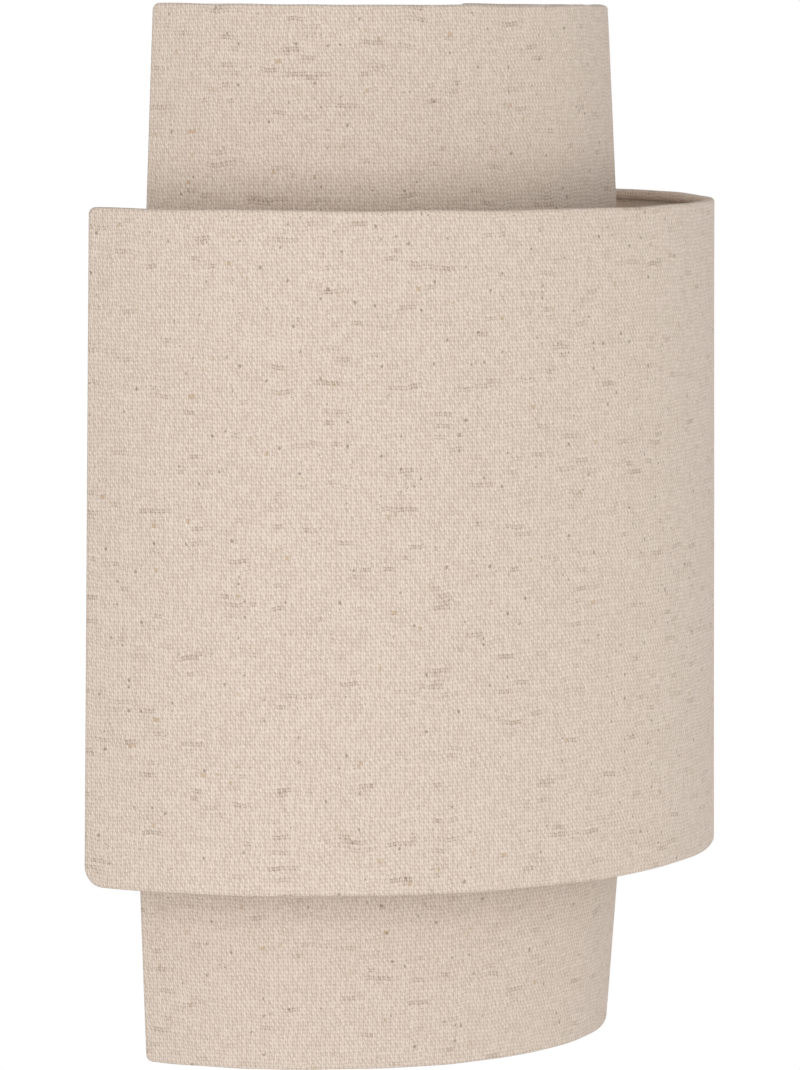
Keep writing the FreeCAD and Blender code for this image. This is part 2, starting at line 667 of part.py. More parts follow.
def holder_arm():
    """L-shaped strip: its leg is screwed to the backplate and its foot carries the lampholder."""
    back = PLATE_FRONT - GLUE_GAP
    points = [
        Vector(0, back, ARM_UNDERSIDE + ARM_LEG),
        Vector(0, back, ARM_UNDERSIDE),
        Vector(0, -HOLDER_AXIS - ARM_END, ARM_UNDERSIDE),
    ]
    arm = bent_strip(points, [ARM_BEND], ARM_THICKNESS, ARM_WIDTH, RIGHT)
    for z in arm_screw_heights():
        arm = arm.cut(out_rod(0, z, back, back - ARM_THICKNESS, SCREW_DIAMETER + 2 * HOLE_CLEARANCE))
    boxes = [(edge, edge.BoundBox) for edge in arm.Edges]
    front_edges = [(edge, box) for edge, box in boxes if box.YMax < -HOLDER_AXIS]
    corners = [edge for edge, box in front_edges if box.ZLength > ARM_THICKNESS / 2]
    arm = arm.makeFillet(ARM_WIDTH / 2 - HOLE_CLEARANCE, corners)
    hole_centre = Vector(0, -HOLDER_AXIS, ARM_UNDERSIDE)
    return arm.cut(Part.makeCylinder(NIPPLE_DIAMETER / 2 + HOLE_CLEARANCE, ARM_THICKNESS, hole_centre))


def slotted_screw(x, z, face, tail, diameter, head_diameter, head_height):
    """Pan-head screw pointing at the wall, with a driver slot in its head."""
    screw = out_rod(x, z, tail, face, diameter).fuse(domed_head(x, z, face, head_diameter, head_height))
    slot_corner = Vector(x - head_diameter, face - head_height, z - DRIVER_SLOT_WIDTH / 2)
    slot = Part.makeBox(2 * head_diameter, DRIVER_SLOT_DEPTH, DRIVER_SLOT_WIDTH, slot_corner)
    return screw.cut(slot).removeSplitter()


def arm_screw(z):
    """Screw that holds the arm's leg to the backplate."""
    face = PLATE_FRONT - ARM_THICKNESS - 2 * GLUE_GAP
    tail = PLATE_INNER_FACE + NUT_THICKNESS + SCREW_TAIL
    return slotted_screw(0, z, face, tail, SCREW_DIAMETER, SCREW_HEAD, SCREW_HEAD_HEIGHT)


def arm_nut(z):
    """Hexagon nut inside the backplate."""
    start = PLATE_INNER_FACE + GLUE_GAP + NUT_THICKNESS
    nut = hexagon(0, z, start, PLATE_INNER_FACE + GLUE_GAP, NUT_FLATS)
    return nut.cut(out_rod(0, z, start, PLATE_INNER_FACE, SCREW_DIAMETER + 2 * GLUE_GAP))


# ---------------------------------------------------------------- lampholder
def hollow_nipple():
    """Threaded tube that clamps the lampholder to the arm and lets the leads through."""
    outer = NIPPLE_DIAMETER / 2
    bore = NIPPLE_BORE / 2
    bottom = ARM_UNDERSIDE - NIPPLE_BELOW
    top = ARM_HEIGHT + NIPPLE_IN_CAP
    return lathe([(bore, bottom), (outer, bottom), (outer, top), (bore, top)])


def nipple_nut():
    """Thin hexagon nut under the arm."""
    nut = hexagon(0, 0, 0, -NIPPLE_NUT_THICKNESS, NIPPLE_NUT_FLATS)
    nut.rotate(ORIGIN, RIGHT, 90)
    nut.translate(HOLDER_CENTRE + UP * (ARM_UNDERSIDE - GLUE_GAP))
    bore = Part.makeCylinder(NIPPLE_DIAMETER / 2 + GLUE_GAP, 2 * NIPPLE_NUT_THICKNESS)
    bore.translate(HOLDER_CENTRE + UP * (ARM_UNDERSIDE - 2 * NIPPLE_NUT_THICKNESS + GLUE_GAP))
    return nut.cut(bore)


def holder_cap():
    """Lampholder's cup-shaped cap, with a boss for the nipple and a spigot that enters the skirt."""
    base = ARM_HEIGHT + GLUE_GAP
    bore = NIPPLE_DIAMETER / 2 + GLUE_GAP
    boss_top = ARM_HEIGHT + NIPPLE_IN_CAP
    inside = HOLDER_RADIUS - HOLDER_WALL
    spigot = inside - FIT_GAP
    spigot_inside = spigot - HOLDER_WALL
    return lathe([
        (bore, base),
        (CAP_FOOT_RADIUS, base),
        (HOLDER_RADIUS, base + CAP_SHOULDER),
        (HOLDER_RADIUS, HOLDER_JOINT),
        (spigot, HOLDER_JOINT),
        (spigot, HOLDER_JOINT + SKIRT_SPIGOT),
        (spigot_inside, HOLDER_JOINT + SKIRT_SPIGOT),
        (spigot_inside, base + CAP_SHOULDER),
        (CAP_BOSS_RADIUS, base + HOLDER_WALL),
        (CAP_BOSS_RADIUS, boss_top),
        (bore, boss_top),
    ])


def holder_skirt():
    """Plain tubular skirt whose lip keeps the screw shell down."""
    inside = HOLDER_RADIUS - HOLDER_WALL
    lip = SHELL_RADIUS
    bottom = HOLDER_JOINT + FIT_GAP
    return lathe([
        (inside, bottom),
        (HOLDER_RADIUS, bottom),
        (HOLDER_RADIUS, HOLDER_TOP),
        (lip, HOLDER_TOP),
        (lip, HOLDER_TOP - SKIRT_LIP),
        (inside, HOLDER_TOP - SKIRT_LIP),
    ])


def contact_block():
    """Insulating block in the lampholder, with a way through for each lead's end."""
    radius = HOLDER_RADIUS - 2 * HOLDER_WALL - 2 * FIT_GAP
    block = Part.makeCylinder(radius, BLOCK_HEIGHT, HOLDER_CENTRE + UP * BLOCK_BOTTOM)
    for side in SIDES:
        centre = HOLDER_CENTRE + Vector(side * LEAD_SPACING / 2, 0, BLOCK_BOTTOM)
        block = block.cut(Part.makeCylinder(LEAD_DIAMETER / 2 + HOLE_CLEARANCE, BLOCK_HEIGHT / 2, centre))
    return block


def screw_shell():
    """Thin metal shell that the lamp's cap screws into, standing on its flange."""
    bottom = BLOCK_TOP + GLUE_GAP
    top = HOLDER_TOP - SKIRT_LIP - GLUE_GAP
    outer = SHELL_RADIUS + SHELL_THICKNESS
    flange = SHELL_RADIUS + SHELL_FLANGE
    return lathe([
        (SHELL_RADIUS, bottom),
        (flange, bottom),
        (flange, bottom + SHELL_THICKNESS),
        (outer, bottom + SHELL_THICKNESS),
        (outer, top - SHELL_THICKNESS),
        (flange, top - SHELL_THICKNESS),
        (flange, top),
        (SHELL_RADIUS, top),
    ])


def centre_contact():
    """Sprung leaf that presses on the lamp's foot."""
    foot = BLOCK_TOP + GLUE_GAP
    rise = CONTACT_TOP - CONTACT_THICKNESS
    points = [
        Vector(0, -HOLDER_AXIS + CONTACT_REACH, foot),
        Vector(0, -HOLDER_AXIS + CONTACT_REACH / 2, foot),
        Vector(0, -HOLDER_AXIS + CONTACT_WIDTH / 4, rise),
        Vector(0, -HOLDER_AXIS - CONTACT_WIDTH / 2, rise),
    ]
    bends = [CONTACT_THICKNESS] * 2
    return bent_strip(points, bends, CONTACT_THICKNESS, CONTACT_WIDTH, RIGHT)


# ---------------------------------------------------------------- lamp
def bulb_cap():
    """Lamp's metal cap, open at both ends."""
    inside = LAMP_CAP_RADIUS - LAMP_CAP_WALL
    return lathe([
        (inside, LAMP_CAP_BOTTOM),
        (LAMP_CAP_RADIUS, LAMP_CAP_BOTTOM),
        (LAMP_CAP_RADIUS, LAMP_CAP_TOP),
        (inside, LAMP_CAP_TOP),
    ])


def bulb_insulator():
    """Insulating plug in the cap's foot."""
    foot = LAMP_FOOT + FOOT_CONTACT_HEIGHT
    inside = LAMP_CAP_RADIUS - LAMP_CAP_WALL - GLUE_GAP
    return lathe([
        (0, foot),
        (INSULATOR_FOOT_RADIUS, foot),
        (INSULATOR_TOP_RADIUS, LAMP_CAP_BOTTOM),
        (inside, LAMP_CAP_BOTTOM),
        (inside, LAMP_CAP_BOTTOM + INSULATOR_HEIGHT),
        (0, LAMP_CAP_BOTTOM + INSULATOR_HEIGHT),
    ])


def bulb_contact():
    """Foot contact of the lamp, a low dome."""
    top = LAMP_FOOT + FOOT_CONTACT_HEIGHT - GLUE_GAP
    dome = domed_head(0, 0, 0, 2 * FOOT_CONTACT_RADIUS, FOOT_CONTACT_HEIGHT - GLUE_GAP)
    dome.rotate(ORIGIN, RIGHT, 90)
    dome.translate(HOLDER_CENTRE + UP * top)
    return dome


def bulb_body():
    """Tapered hollow body of the lamp, which widens more and more from the cap's neck to the diffuser."""
    bottom = LAMP_CAP_TOP + GLUE_GAP
    outside = []
    for step in range(LAMP_BODY_STEPS + 1):
        share = step / LAMP_BODY_STEPS
        radius = LAMP_NECK_RADIUS + (LAMP_RADIUS - LAMP_NECK_RADIUS) * share ** LAMP_BODY_FLARE
        outside.append((radius, bottom + (LAMP_WAIST - bottom) * share))
    inside = [(radius - LAMP_WALL, height) for radius, height in reversed(outside)]
    return lathe(outside + inside)


def bulb_diffuser():
    """Opal dome of the lamp, turned in short steps."""
    bottom = LAMP_WAIST + GLUE_GAP
    shells = []
    for radius in (LAMP_RADIUS, LAMP_RADIUS - LAMP_WALL):
        angles = [math.pi / 2 * step / DIFFUSER_STEPS for step in range(DIFFUSER_STEPS + 1)]
        shells.append([(radius * math.cos(angle), bottom + radius * math.sin(angle)) for angle in angles])
    return lathe(shells[0] + list(reversed(shells[1])))


def led_board():
    """Round board across the lamp's waist with a circle of light chips."""
    radius = LAMP_RADIUS - LAMP_WALL - 3 * GLUE_GAP
    top = LAMP_WAIST - GLUE_GAP
    board = Part.makeCylinder(radius, BOARD_THICKNESS, HOLDER_CENTRE + UP * top)
    board = board.fuse(led_chips(top + BOARD_THICKNESS))
    return board.removeSplitter()


def led_chips(height):
    """Square chips evenly round the board."""
    chips = []
    for step in range(CHIP_COUNT):
        corner = Vector(CHIP_CIRCLE - CHIP_SIZE / 2, -CHIP_SIZE / 2, height)
        chip = Part.makeBox(CHIP_SIZE, CHIP_SIZE, CHIP_HEIGHT, corner)
        chip.rotate(ORIGIN, UP, 360 * step / CHIP_COUNT)
        chip.translate(HOLDER_CENTRE)
        chips.append(chip)
    return chips


# ---------------------------------------------------------------- wiring
def way_x(way):
    """Middle of one way of the terminal block, counted from the left."""
    return TERMINAL_X + (way - (TERMINAL_WAYS - 1) / 2) * TERMINAL_PITCH


def terminal_axis():
    """Depth of the terminal block's wire entries."""
    return PLATE_INNER_FACE + GLUE_GAP + TERMINAL_DEPTH / 2


def terminal_block():
    """Moulded block of three ways, each a rounded barrel on a common base."""
    start = PLATE_INNER_FACE + GLUE_GAP
    bottom = TERMINAL_Z - TERMINAL_LENGTH / 2
    base_corner = Vector(way_x(0) - TERMINAL_PITCH / 2, start, bottom)
    base_width = TERMINAL_WAYS * TERMINAL_PITCH
    block = Part.makeBox(base_width, TERMINAL_DEPTH / 2, TERMINAL_LENGTH, base_corner)
    barrel_radius = TERMINAL_PITCH / 2 - HOLE_CLEARANCE
    for way in range(TERMINAL_WAYS):
        centre = Vector(way_x(way), terminal_axis(), bottom)
        block = block.fuse(Part.makeCylinder(barrel_radius, TERMINAL_LENGTH, centre))
        corner = Vector(way_x(way) - TERMINAL_SCREW, terminal_axis(), bottom)
        block = block.fuse(Part.makeBox(2 * TERMINAL_SCREW, TERMINAL_DEPTH / 2, TERMINAL_LENGTH, corner))
    for way in range(TERMINAL_WAYS):
        for end in SIDES:
            mouth = Vector(way_x(way), terminal_axis(), TERMINAL_Z + end * TERMINAL_LENGTH / 2)
            inside = mouth - UP * (end * TERMINAL_ENTRY_DEPTH)
            block = block.cut(rod(mouth, inside, TERMINAL_ENTRY))
    well = TERMINAL_SCREW + 2 * GLUE_GAP
    for x, z in terminal_screw_places():
        block = block.cut(out_rod(x, z, terminal_back(), terminal_screw_foot(), well))
    fix_depth = start + TERMINAL_DEPTH / 2
    block = block.cut(out_rod(TERMINAL_X, TERMINAL_Z, fix_depth, start, TERMINAL_FIX_DIAMETER))
    return block.removeSplitter()


def terminal_back():
    """Back of the terminal block, which faces the wall."""
    return terminal_axis() + TERMINAL_DEPTH / 2


def terminal_screw_foot():
    """Depth that the terminal screws reach."""
    return terminal_back() - TERMINAL_SCREW_DEPTH


def terminal_screw_places():
    """(x, z) of the terminal block's six screws."""
    heights = [TERMINAL_Z + side * TERMINAL_SCREW_SPACING / 2 for side in SIDES]
    return [(way_x(way), z) for way in range(TERMINAL_WAYS) for z in heights]


def terminal_screw(x, z):
    """Slotted grub screw sunk in the terminal block."""
    head = terminal_back() - GLUE_GAP
    screw = out_rod(x, z, head, terminal_screw_foot() + GLUE_GAP, TERMINAL_SCREW)
    slot_corner = Vector(x - TERMINAL_SCREW, head - DRIVER_SLOT_DEPTH, z - DRIVER_SLOT_WIDTH / 2)
    return screw.cut(Part.makeBox(2 * TERMINAL_SCREW, DRIVER_SLOT_DEPTH, DRIVER_SLOT_WIDTH, slot_corner))


def terminal_fixing_screw():
    """Screw through the backplate's front into the terminal block."""
    tail = PLATE_INNER_FACE + TERMINAL_DEPTH / 2 - SCREW_TAIL
    diameter = TERMINAL_FIX_DIAMETER - 2 * GLUE_GAP
    face = PLATE_FRONT - GLUE_GAP
    head = 2 * TERMINAL_FIX_DIAMETER
    return slotted_screw(TERMINAL_X, TERMINAL_Z, face, tail, diameter, head, TERMINAL_FIX_DIAMETER / 2)


def lead_bush():
    """Rubber bush in the backplate's hole, with a flange each side of the sheet."""
    bore = BUSH_BORE / 2
    neck = BUSH_NECK / 2
    flange = BUSH_FLANGE / 2
    front = PLATE_FRONT - GLUE_GAP
    back = PLATE_INNER_FACE + GLUE_GAP
    points = [
        Vector(bore, front - BUSH_FLANGE_HEIGHT, 0),
        Vector(flange, front - BUSH_FLANGE_HEIGHT, 0),
        Vector(flange, front, 0),
        Vector(neck, front, 0),
        Vector(neck, back, 0),
        Vector(flange, back, 0),
        Vector(flange, back + BUSH_FLANGE_HEIGHT, 0),
        Vector(bore, back + BUSH_FLANGE_HEIGHT, 0),
    ]
    bush = polygon_face(points).revolve(ORIGIN, TO_WALL, 360)
    bush.translate(UP * LEAD_HEIGHT)
    return bush


def supply_lead(way, side):
    """Insulated lead from one way of the terminal block, through the bush and up into the lampholder."""
    x = side * LEAD_SPACING / 2
    start_height = TERMINAL_Z - TERMINAL_LENGTH / 2 + TERMINAL_ENTRY_DEPTH - WELD_GAP
    turn_height = TERMINAL_Z - TERMINAL_LENGTH / 2 - LEAD_SPACING
    run_depth = terminal_axis() + side * LEAD_SPACING
    points = [
        Vector(way_x(way), terminal_axis(), start_height),
        Vector(way_x(way), terminal_axis(), turn_height),
        Vector(way_x(way), run_depth, LEAD_HEIGHT),
        Vector(x, run_depth, LEAD_HEIGHT),
        Vector(x, -HOLDER_AXIS, LEAD_HEIGHT),
        Vector(x, -HOLDER_AXIS, BLOCK_BOTTOM + BLOCK_HEIGHT / 2 - WELD_GAP),
    ]
    bends = [LEAD_BEND, LEAD_BEND, LEAD_BEND / 2, LEAD_BEND]
    return tube(rounded_path(points, bends), LEAD_DIAMETER)


def earth_depth():
    """Front face of the earth lug on the strap."""
    return -STRAP_THICKNESS - GLUE_GAP - LUG_THICKNESS


def earth_lug():
    """Ring terminal on the strap with a barrel that points down for its lead."""
    back = -STRAP_THICKNESS - GLUE_GAP
    barrel_top = -STRAP_WIDTH / 2
    ring = out_rod(EARTH_X, 0, back, earth_depth(), 2 * LUG_RADIUS)
    neck_corner = Vector(EARTH_X - LUG_NECK, earth_depth(), barrel_top)
    neck = Part.makeBox(2 * LUG_NECK, LUG_THICKNESS, -barrel_top, neck_corner)
    centre = Vector(EARTH_X, earth_lead_depth(), barrel_top)
    barrel = rod(centre, centre - UP * LUG_BARREL_LENGTH, LUG_BARREL)
    lip_corner = Vector(EARTH_X - LUG_NECK / 2, earth_lead_depth(), barrel_top - LUG_BARREL_LENGTH / 2)
    lip_height = LUG_BARREL_LENGTH / 2 + STRAP_WIDTH / 8
    lip = Part.makeBox(LUG_NECK, back - earth_lead_depth(), lip_height, lip_corner)
    bore = rod(centre - UP * LUG_BARREL_LENGTH, centre, LEAD_DIAMETER + 2 * GLUE_GAP)
    eye = out_rod(EARTH_X, 0, back, earth_depth(), SCREW_DIAMETER + 2 * HOLE_CLEARANCE)
    return ring.fuse([neck, lip, barrel]).cut(bore).cut(eye).removeSplitter()


def earth_lead_depth():
    """Depth of the earth lead's end in its lug."""
    return earth_depth() - LUG_BARREL / 2 + LUG_THICKNESS


def earth_screw():
    """Slotted screw that clamps the lug to the strap."""
    face = earth_depth() - GLUE_GAP
    return slotted_screw(EARTH_X, 0, face, -GLUE_GAP, SCREW_DIAMETER, SCREW_HEAD, SCREW_HEAD_HEIGHT)


def earth_lead():
    """Insulated lead from the last way of the terminal block up to the earth lug."""
    way = way_x(TERMINAL_WAYS - 1)
    start = TERMINAL_Z + TERMINAL_LENGTH / 2 - TERMINAL_ENTRY_DEPTH + WELD_GAP
    block_top = TERMINAL_Z + TERMINAL_LENGTH / 2
    lug_foot = -STRAP_WIDTH / 2 - LUG_BARREL_LENGTH
    end = -STRAP_WIDTH / 2 - WELD_GAP
    third = (lug_foot - block_top) / 3
    points = [
        Vector(way, terminal_axis(), start),
        Vector(way, terminal_axis(), block_top + third),
        Vector(EARTH_X, earth_lead_depth(), lug_foot - third),
        Vector(EARTH_X, earth_lead_depth(), end),
    ]
    bends = [LEAD_DIAMETER, LEAD_DIAMETER]
    return tube(rounded_path(points, bends), LEAD_DIAMETER)


# ---------------------------------------------------------------- the whole light
def shade_nodes():
    """Every node of the shade that lifts off."""
    left_upright, foot_gap = outer_upright(-1)
    right_upright, foot_gap = outer_upright(1)
    rim_radius = UPPER_RIM_RADIUS - RING_INSET
    base_radius = LOWER_RIM_RADIUS - RING_INSET
    uprights = group([left_upright, right_upright])
    top_ring_height = OUTER_TOP - HEM_HEIGHT / 2
    bottom_ring_height = OUTER_BOTTOM + HEM_HEIGHT / 2
    top_ring_radius = OUTER_TOP_RADIUS - RING_INSET
    bottom_ring_radius = OUTER_BOTTOM_RADIUS - RING_INSET
    outer_corners = (OUTER_FOOT_CORNER, SHEET_CORNER)
    strut_heights = (OUTER_BOTTOM + STRUT_SETBACK, OUTER_TOP - STRUT_SETBACK)
    return {
        "outer_cover": cover(OUTER_ENDS, True, True, *outer_corners).cut(uprights),
        "outer_liner": liner(OUTER_ENDS, True, True, *outer_corners).cut(uprights),
        "upper_cover": cover(UPPER_ENDS, False, True, SHEET_CORNER, SHEET_CORNER),
        "upper_liner": liner(UPPER_ENDS, False, True, SHEET_CORNER, SHEET_CORNER),
        "lower_cover": cover(LOWER_ENDS, True, False, SHEET_CORNER, SHEET_CORNER),
        "lower_liner": liner(LOWER_ENDS, True, False, SHEET_CORNER, SHEET_CORNER),
        "outer_top_ring": ring_arc(top_ring_radius, top_ring_height, RING_WIRE, WALL_GAP),
        "outer_bottom_ring": ring_arc(bottom_ring_radius, bottom_ring_height, RING_WIRE, foot_gap + WELD_GAP),
        "upper_rim_ring": ring_arc(rim_radius, UPPER_RIM - HEM_HEIGHT / 2, RING_WIRE, WALL_GAP),
        "lower_rim_ring": ring_arc(base_radius, LOWER_RIM + HEM_HEIGHT / 2, RING_WIRE, WALL_GAP),
        "knee_ring": ring_arc(KNEE_RADIUS - UPRIGHT_WIRE / 2, KNEE, UPRIGHT_WIRE, WALL_GAP),
        "outer_uprights": uprights,
        "upper_uprights": group([inner_upright(UPPER_ENDS, side) for side in SIDES]),
        "lower_uprights": group([inner_upright(LOWER_ENDS, side) for side in SIDES]),
        "upper_back_wire": back_wire(UPPER_RIM - BACK_WIRE_SETBACK),
        "lower_back_wire": back_wire(LOWER_RIM + BACK_WIRE_SETBACK),
        "back_struts": group([back_strut(height, side) for height in strut_heights for side in SIDES]),
        "front_ribs": group([front_rib(side) for side in SIDES]),
        "front_spokes": group([front_spoke(side) for side in SIDES]),
        "hanger_bar": hanger_bar(),
    }


def fitting_nodes():
    """Every node that stays on the wall."""
    return {
        "wall_strap": wall_strap(),
        "strap_studs": group([strap_stud(side) for side in SIDES]),
        "cap_nuts": group([cap_nut(side) for side in SIDES]),
        "backplate": backplate(),
        "shade_hooks": group([hook(side) for side in SIDES]),
        "hook_rivets": group([rivet(x, z) for x, z in rivet_places()]),
        "holder_arm": holder_arm(),
        "arm_screws": group([arm_screw(z) for z in arm_screw_heights()]),
        "arm_nuts": group([arm_nut(z) for z in arm_screw_heights()]),
        "hollow_nipple": hollow_nipple(),
        "nipple_nut": nipple_nut(),
        "holder_cap": holder_cap(),
        "holder_skirt": holder_skirt(),
        "contact_block": contact_block(),
        "screw_shell": screw_shell(),
        "centre_contact": centre_contact(),
        "lead_bush": lead_bush(),
        "terminal_block": terminal_block(),
        "terminal_screws": group([terminal_screw(x, z) for x, z in terminal_screw_places()]),
        "terminal_fixing_screw": terminal_fixing_screw(),
        "live_lead": supply_lead(0, -1),
        "neutral_lead": supply_lead(1, 1),
        "earth_lug": earth_lug(),
        "earth_screw": earth_screw(),
        "earth_lead": earth_lead(),
    }


def lamp_nodes():
    """Every node of the lamp."""
    return {
        "bulb_cap": bulb_cap(),
        "bulb_insulator": bulb_insulator(),
        "bulb_contact": bulb_contact(),
        "bulb_body": bulb_body(),
        "bulb_diffuser": bulb_diffuser(),
        "led_board": led_board(),
    }


def main():
    """Builds every node and writes each to its own file."""
    os.makedirs("parts", exist_ok=True)
    for nodes in (shade_nodes(), fitting_nodes(), lamp_nodes()):
        for name, shape in nodes.items():
            shape.exportStep(os.path.join("parts", name + ".step"))
            print(name, len(shape.Solids), "solids", round(shape.Volume, 1), "mm3", shape.isValid())


main()
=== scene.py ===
# %% [markdown]
# # A half-round wall light with a tiered linen shade
#
# The light has a wide middle tier of beige linen that stands in front of a narrower shade. The narrower one
# shows above it and below it. Behind the cloth there is a wire frame, a fitting on the wall and a lamp.
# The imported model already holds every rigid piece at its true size, so this scene loads it first, dresses it
# with cloth and finishes, and lights it softly.

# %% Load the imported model
import json
import math

import bmesh
import bpy
from mathutils import Matrix, Vector, noise


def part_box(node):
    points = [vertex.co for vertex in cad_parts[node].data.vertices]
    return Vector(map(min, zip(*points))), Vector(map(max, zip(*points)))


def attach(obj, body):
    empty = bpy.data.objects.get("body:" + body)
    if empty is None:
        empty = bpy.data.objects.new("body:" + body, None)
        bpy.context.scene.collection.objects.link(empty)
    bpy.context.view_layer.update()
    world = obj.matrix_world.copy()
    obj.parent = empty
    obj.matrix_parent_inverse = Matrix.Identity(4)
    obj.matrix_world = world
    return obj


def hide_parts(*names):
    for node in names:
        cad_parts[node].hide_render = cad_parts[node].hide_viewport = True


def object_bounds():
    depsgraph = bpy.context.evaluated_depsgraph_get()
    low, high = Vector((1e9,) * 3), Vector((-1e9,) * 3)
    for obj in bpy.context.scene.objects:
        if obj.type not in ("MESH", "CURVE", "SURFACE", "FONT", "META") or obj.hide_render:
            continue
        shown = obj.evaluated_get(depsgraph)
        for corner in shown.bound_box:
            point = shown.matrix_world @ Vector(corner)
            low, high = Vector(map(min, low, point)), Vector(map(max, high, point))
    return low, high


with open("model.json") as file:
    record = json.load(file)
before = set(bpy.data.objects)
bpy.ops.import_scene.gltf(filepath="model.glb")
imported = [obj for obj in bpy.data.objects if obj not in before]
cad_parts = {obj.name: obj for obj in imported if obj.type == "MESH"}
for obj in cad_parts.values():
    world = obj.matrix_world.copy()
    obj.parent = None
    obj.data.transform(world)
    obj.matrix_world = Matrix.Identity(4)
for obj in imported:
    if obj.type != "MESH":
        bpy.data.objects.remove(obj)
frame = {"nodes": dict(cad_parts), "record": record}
cad_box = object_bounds()
print("the model's box in metres:", [[round(v, 4) for v in corner] for corner in cad_box])

# %% [markdown]
# ## The camera
#
# The picture was taken from the light's left and a little above, through a long lens, which is why the tiers'
# upright edges stay almost parallel. The camera is placed by the point that it looks at, its distance, and
# the two angles round the light. A slight roll is added last.

# %% Place the camera
AIM = Vector((0.0645, 0.0, -0.0124))
DISTANCE = 2.189
AZIMUTH = math.radians(-58.9)
ELEVATION = math.radians(5.52)
ROLL = math.radians(0.34)
FOCAL_LENGTH = 190.7
VIEW_REACH = 20  # how far the camera sees, in metres

towards_camera = Vector((
    math.sin(AZIMUTH) * math.cos(ELEVATION),
    -math.cos(AZIMUTH) * math.cos(ELEVATION),
    math.sin(ELEVATION),
))
camera_data = bpy.data.cameras.new("studio_camera")
camera_data.lens = FOCAL_LENGTH
camera_data.clip_end = VIEW_REACH
camera = bpy.data.objects.new("studio_camera", camera_data)
camera.location = AIM + towards_camera * DISTANCE
camera.rotation_mode = "QUATERNION"
level = (-towards_camera).to_track_quat("-Z", "Y")
camera.rotation_quaternion = level @ Matrix.Rotation(ROLL, 3, "Z").to_quaternion()
bpy.context.scene.collection.objects.link(camera)
bpy.context.scene.camera = camera
print("camera at", [round(v, 3) for v in camera.location])

# %% [markdown]
# ## How a tier of the shade is made
#
# A real tier starts as a flat band of linen glued to a stiff milky laminate. The band is bent into a half
# cone, and the linen's free edges are rolled over the frame's wires: over the rims and over the uprights at
# the wall. So every edge of the tier is a soft bead.
#
# The mesh follows that. It is drawn flat first, as a band with rounded corners, and each point also says how
# deep it lies behind the cloth's face. Loops run round the band's edge, and the outermost ones roll over the
# wire and back under it. One function then bends the flat band into its half cone. This keeps the bead even
# round the corners, which a separate tube could not do.

# %% The bead's section, from the cloth's face over the wire and back under it
EDGE_FOLD = 0.0012  # radius where the face turns over the laminate's edge
BEAD_HEIGHT = 0.00384
BEAD_DEPTH = 0.00464
BEAD_ROUND = BEAD_HEIGHT / 2
TURN_STEPS = 5
FACE_INSETS = (0.010, 0.007, 0.0045, 0.0028, 0.0018)  # loops that lie on the plain face
LAMINATE_BACK = 0.0016  # depth of the laminate's back


def quarter(centre, radius, start):
    """Points of a quarter turn in the section, as (distance in from the edge, depth behind the face)."""
    points = []
    for step in range(TURN_STEPS + 1):
        angle = start + math.pi / 2 * step / TURN_STEPS
        points.append((centre[0] - radius * math.cos(angle), centre[1] + radius * math.sin(angle)))
    return points


def bead_section():
    """The whole section, from 10 mm inside the face to the laminate's back."""
    points = [(inset, 0.0) for inset in FACE_INSETS]
    for step in range(TURN_STEPS + 1):
        angle = math.pi / 2 * step / TURN_STEPS
        points.append((EDGE_FOLD * (1 - math.sin(angle)), EDGE_FOLD * (1 - math.cos(angle))))
    middle = (BEAD_ROUND, BEAD_DEPTH - BEAD_ROUND)
    points += quarter(middle, BEAD_ROUND, 0)
    points += quarter(middle, BEAD_ROUND, math.pi / 2)[1:]
    points.append((BEAD_HEIGHT, LAMINATE_BACK))
    return points


section = bead_section()
print("the bead has", len(section), "points across and goes", BEAD_DEPTH * 1000, "mm deep")

# %% [markdown]
# ## The flat band
#
# A loop round the band is a rectangle with rounded corners. Each loop further in has smaller corners, and
# once it is further in than the corner's radius its corners are sharp. All loops have the same number of
# points, so neighbouring loops join with plain four-sided faces. The middle is a plain grid.

# %% Loops and grid of the flat band
CORNER_STEPS = 6
STEP_ALONG = 0.003  # size of a face along the band


def loop_points(half_length, low, high, corner_low, corner_high, inset, across, upright):
    """Points of one loop round the band, anticlockwise from the left end of the bottom side."""
    left, right = -half_length + inset, half_length - inset
    bottom, top = low + inset, high - inset
    low_round, high_round = max(corner_low - inset, 0.0), max(corner_high - inset, 0.0)
    corners = [
        (Vector((right - low_round, bottom + low_round)), low_round, -math.pi / 2),
        (Vector((right - high_round, top - high_round)), high_round, 0.0),
        (Vector((left + high_round, top - high_round)), high_round, math.pi / 2),
        (Vector((left + low_round, bottom + low_round)), low_round, math.pi),
    ]
    counts = [across, upright, across, upright]
    points = []
    before = Vector((left + low_round, bottom))
    for (centre, radius, start), count in zip(corners, counts):
        arc = []
        for step in range(CORNER_STEPS + 1):
            angle = start + math.pi / 2 * step / CORNER_STEPS
            arc.append(centre + Vector((math.cos(angle), math.sin(angle))) * radius)
        points += [before.lerp(arc[0], step / count) for step in range(count)]
        points += arc[:-1]
        before = arc[-1]
    return points


# %% [markdown]
# ## Bending the band
#
# The band's length is measured at the tier's mean radius. A point's place along it gives its angle round the
# tier, its height gives the cone's radius, and its depth is taken off that radius. Real linen is never quite
# true, so slow waves of under half a millimetre are added, and the rims wander a little more than the rest.

# %% Bend a flat point into the half cone
WALL_TOUCH = 0.0002  # from the wall to the tier's upright edges
RIM_WANDER = 0.00045
FACE_WANDER = 0.00030
FACE_WAVES = (2.2, 9.0)  # waves to a radian and to a metre
RIM_WAVES = (5.0, 3.0)  # waves to a radian and to the tier's height
WALL_FADE = 4.0  # how fast the waves die out towards the wall
RIM_ZONE = 0.02  # how far from a rim it still wanders


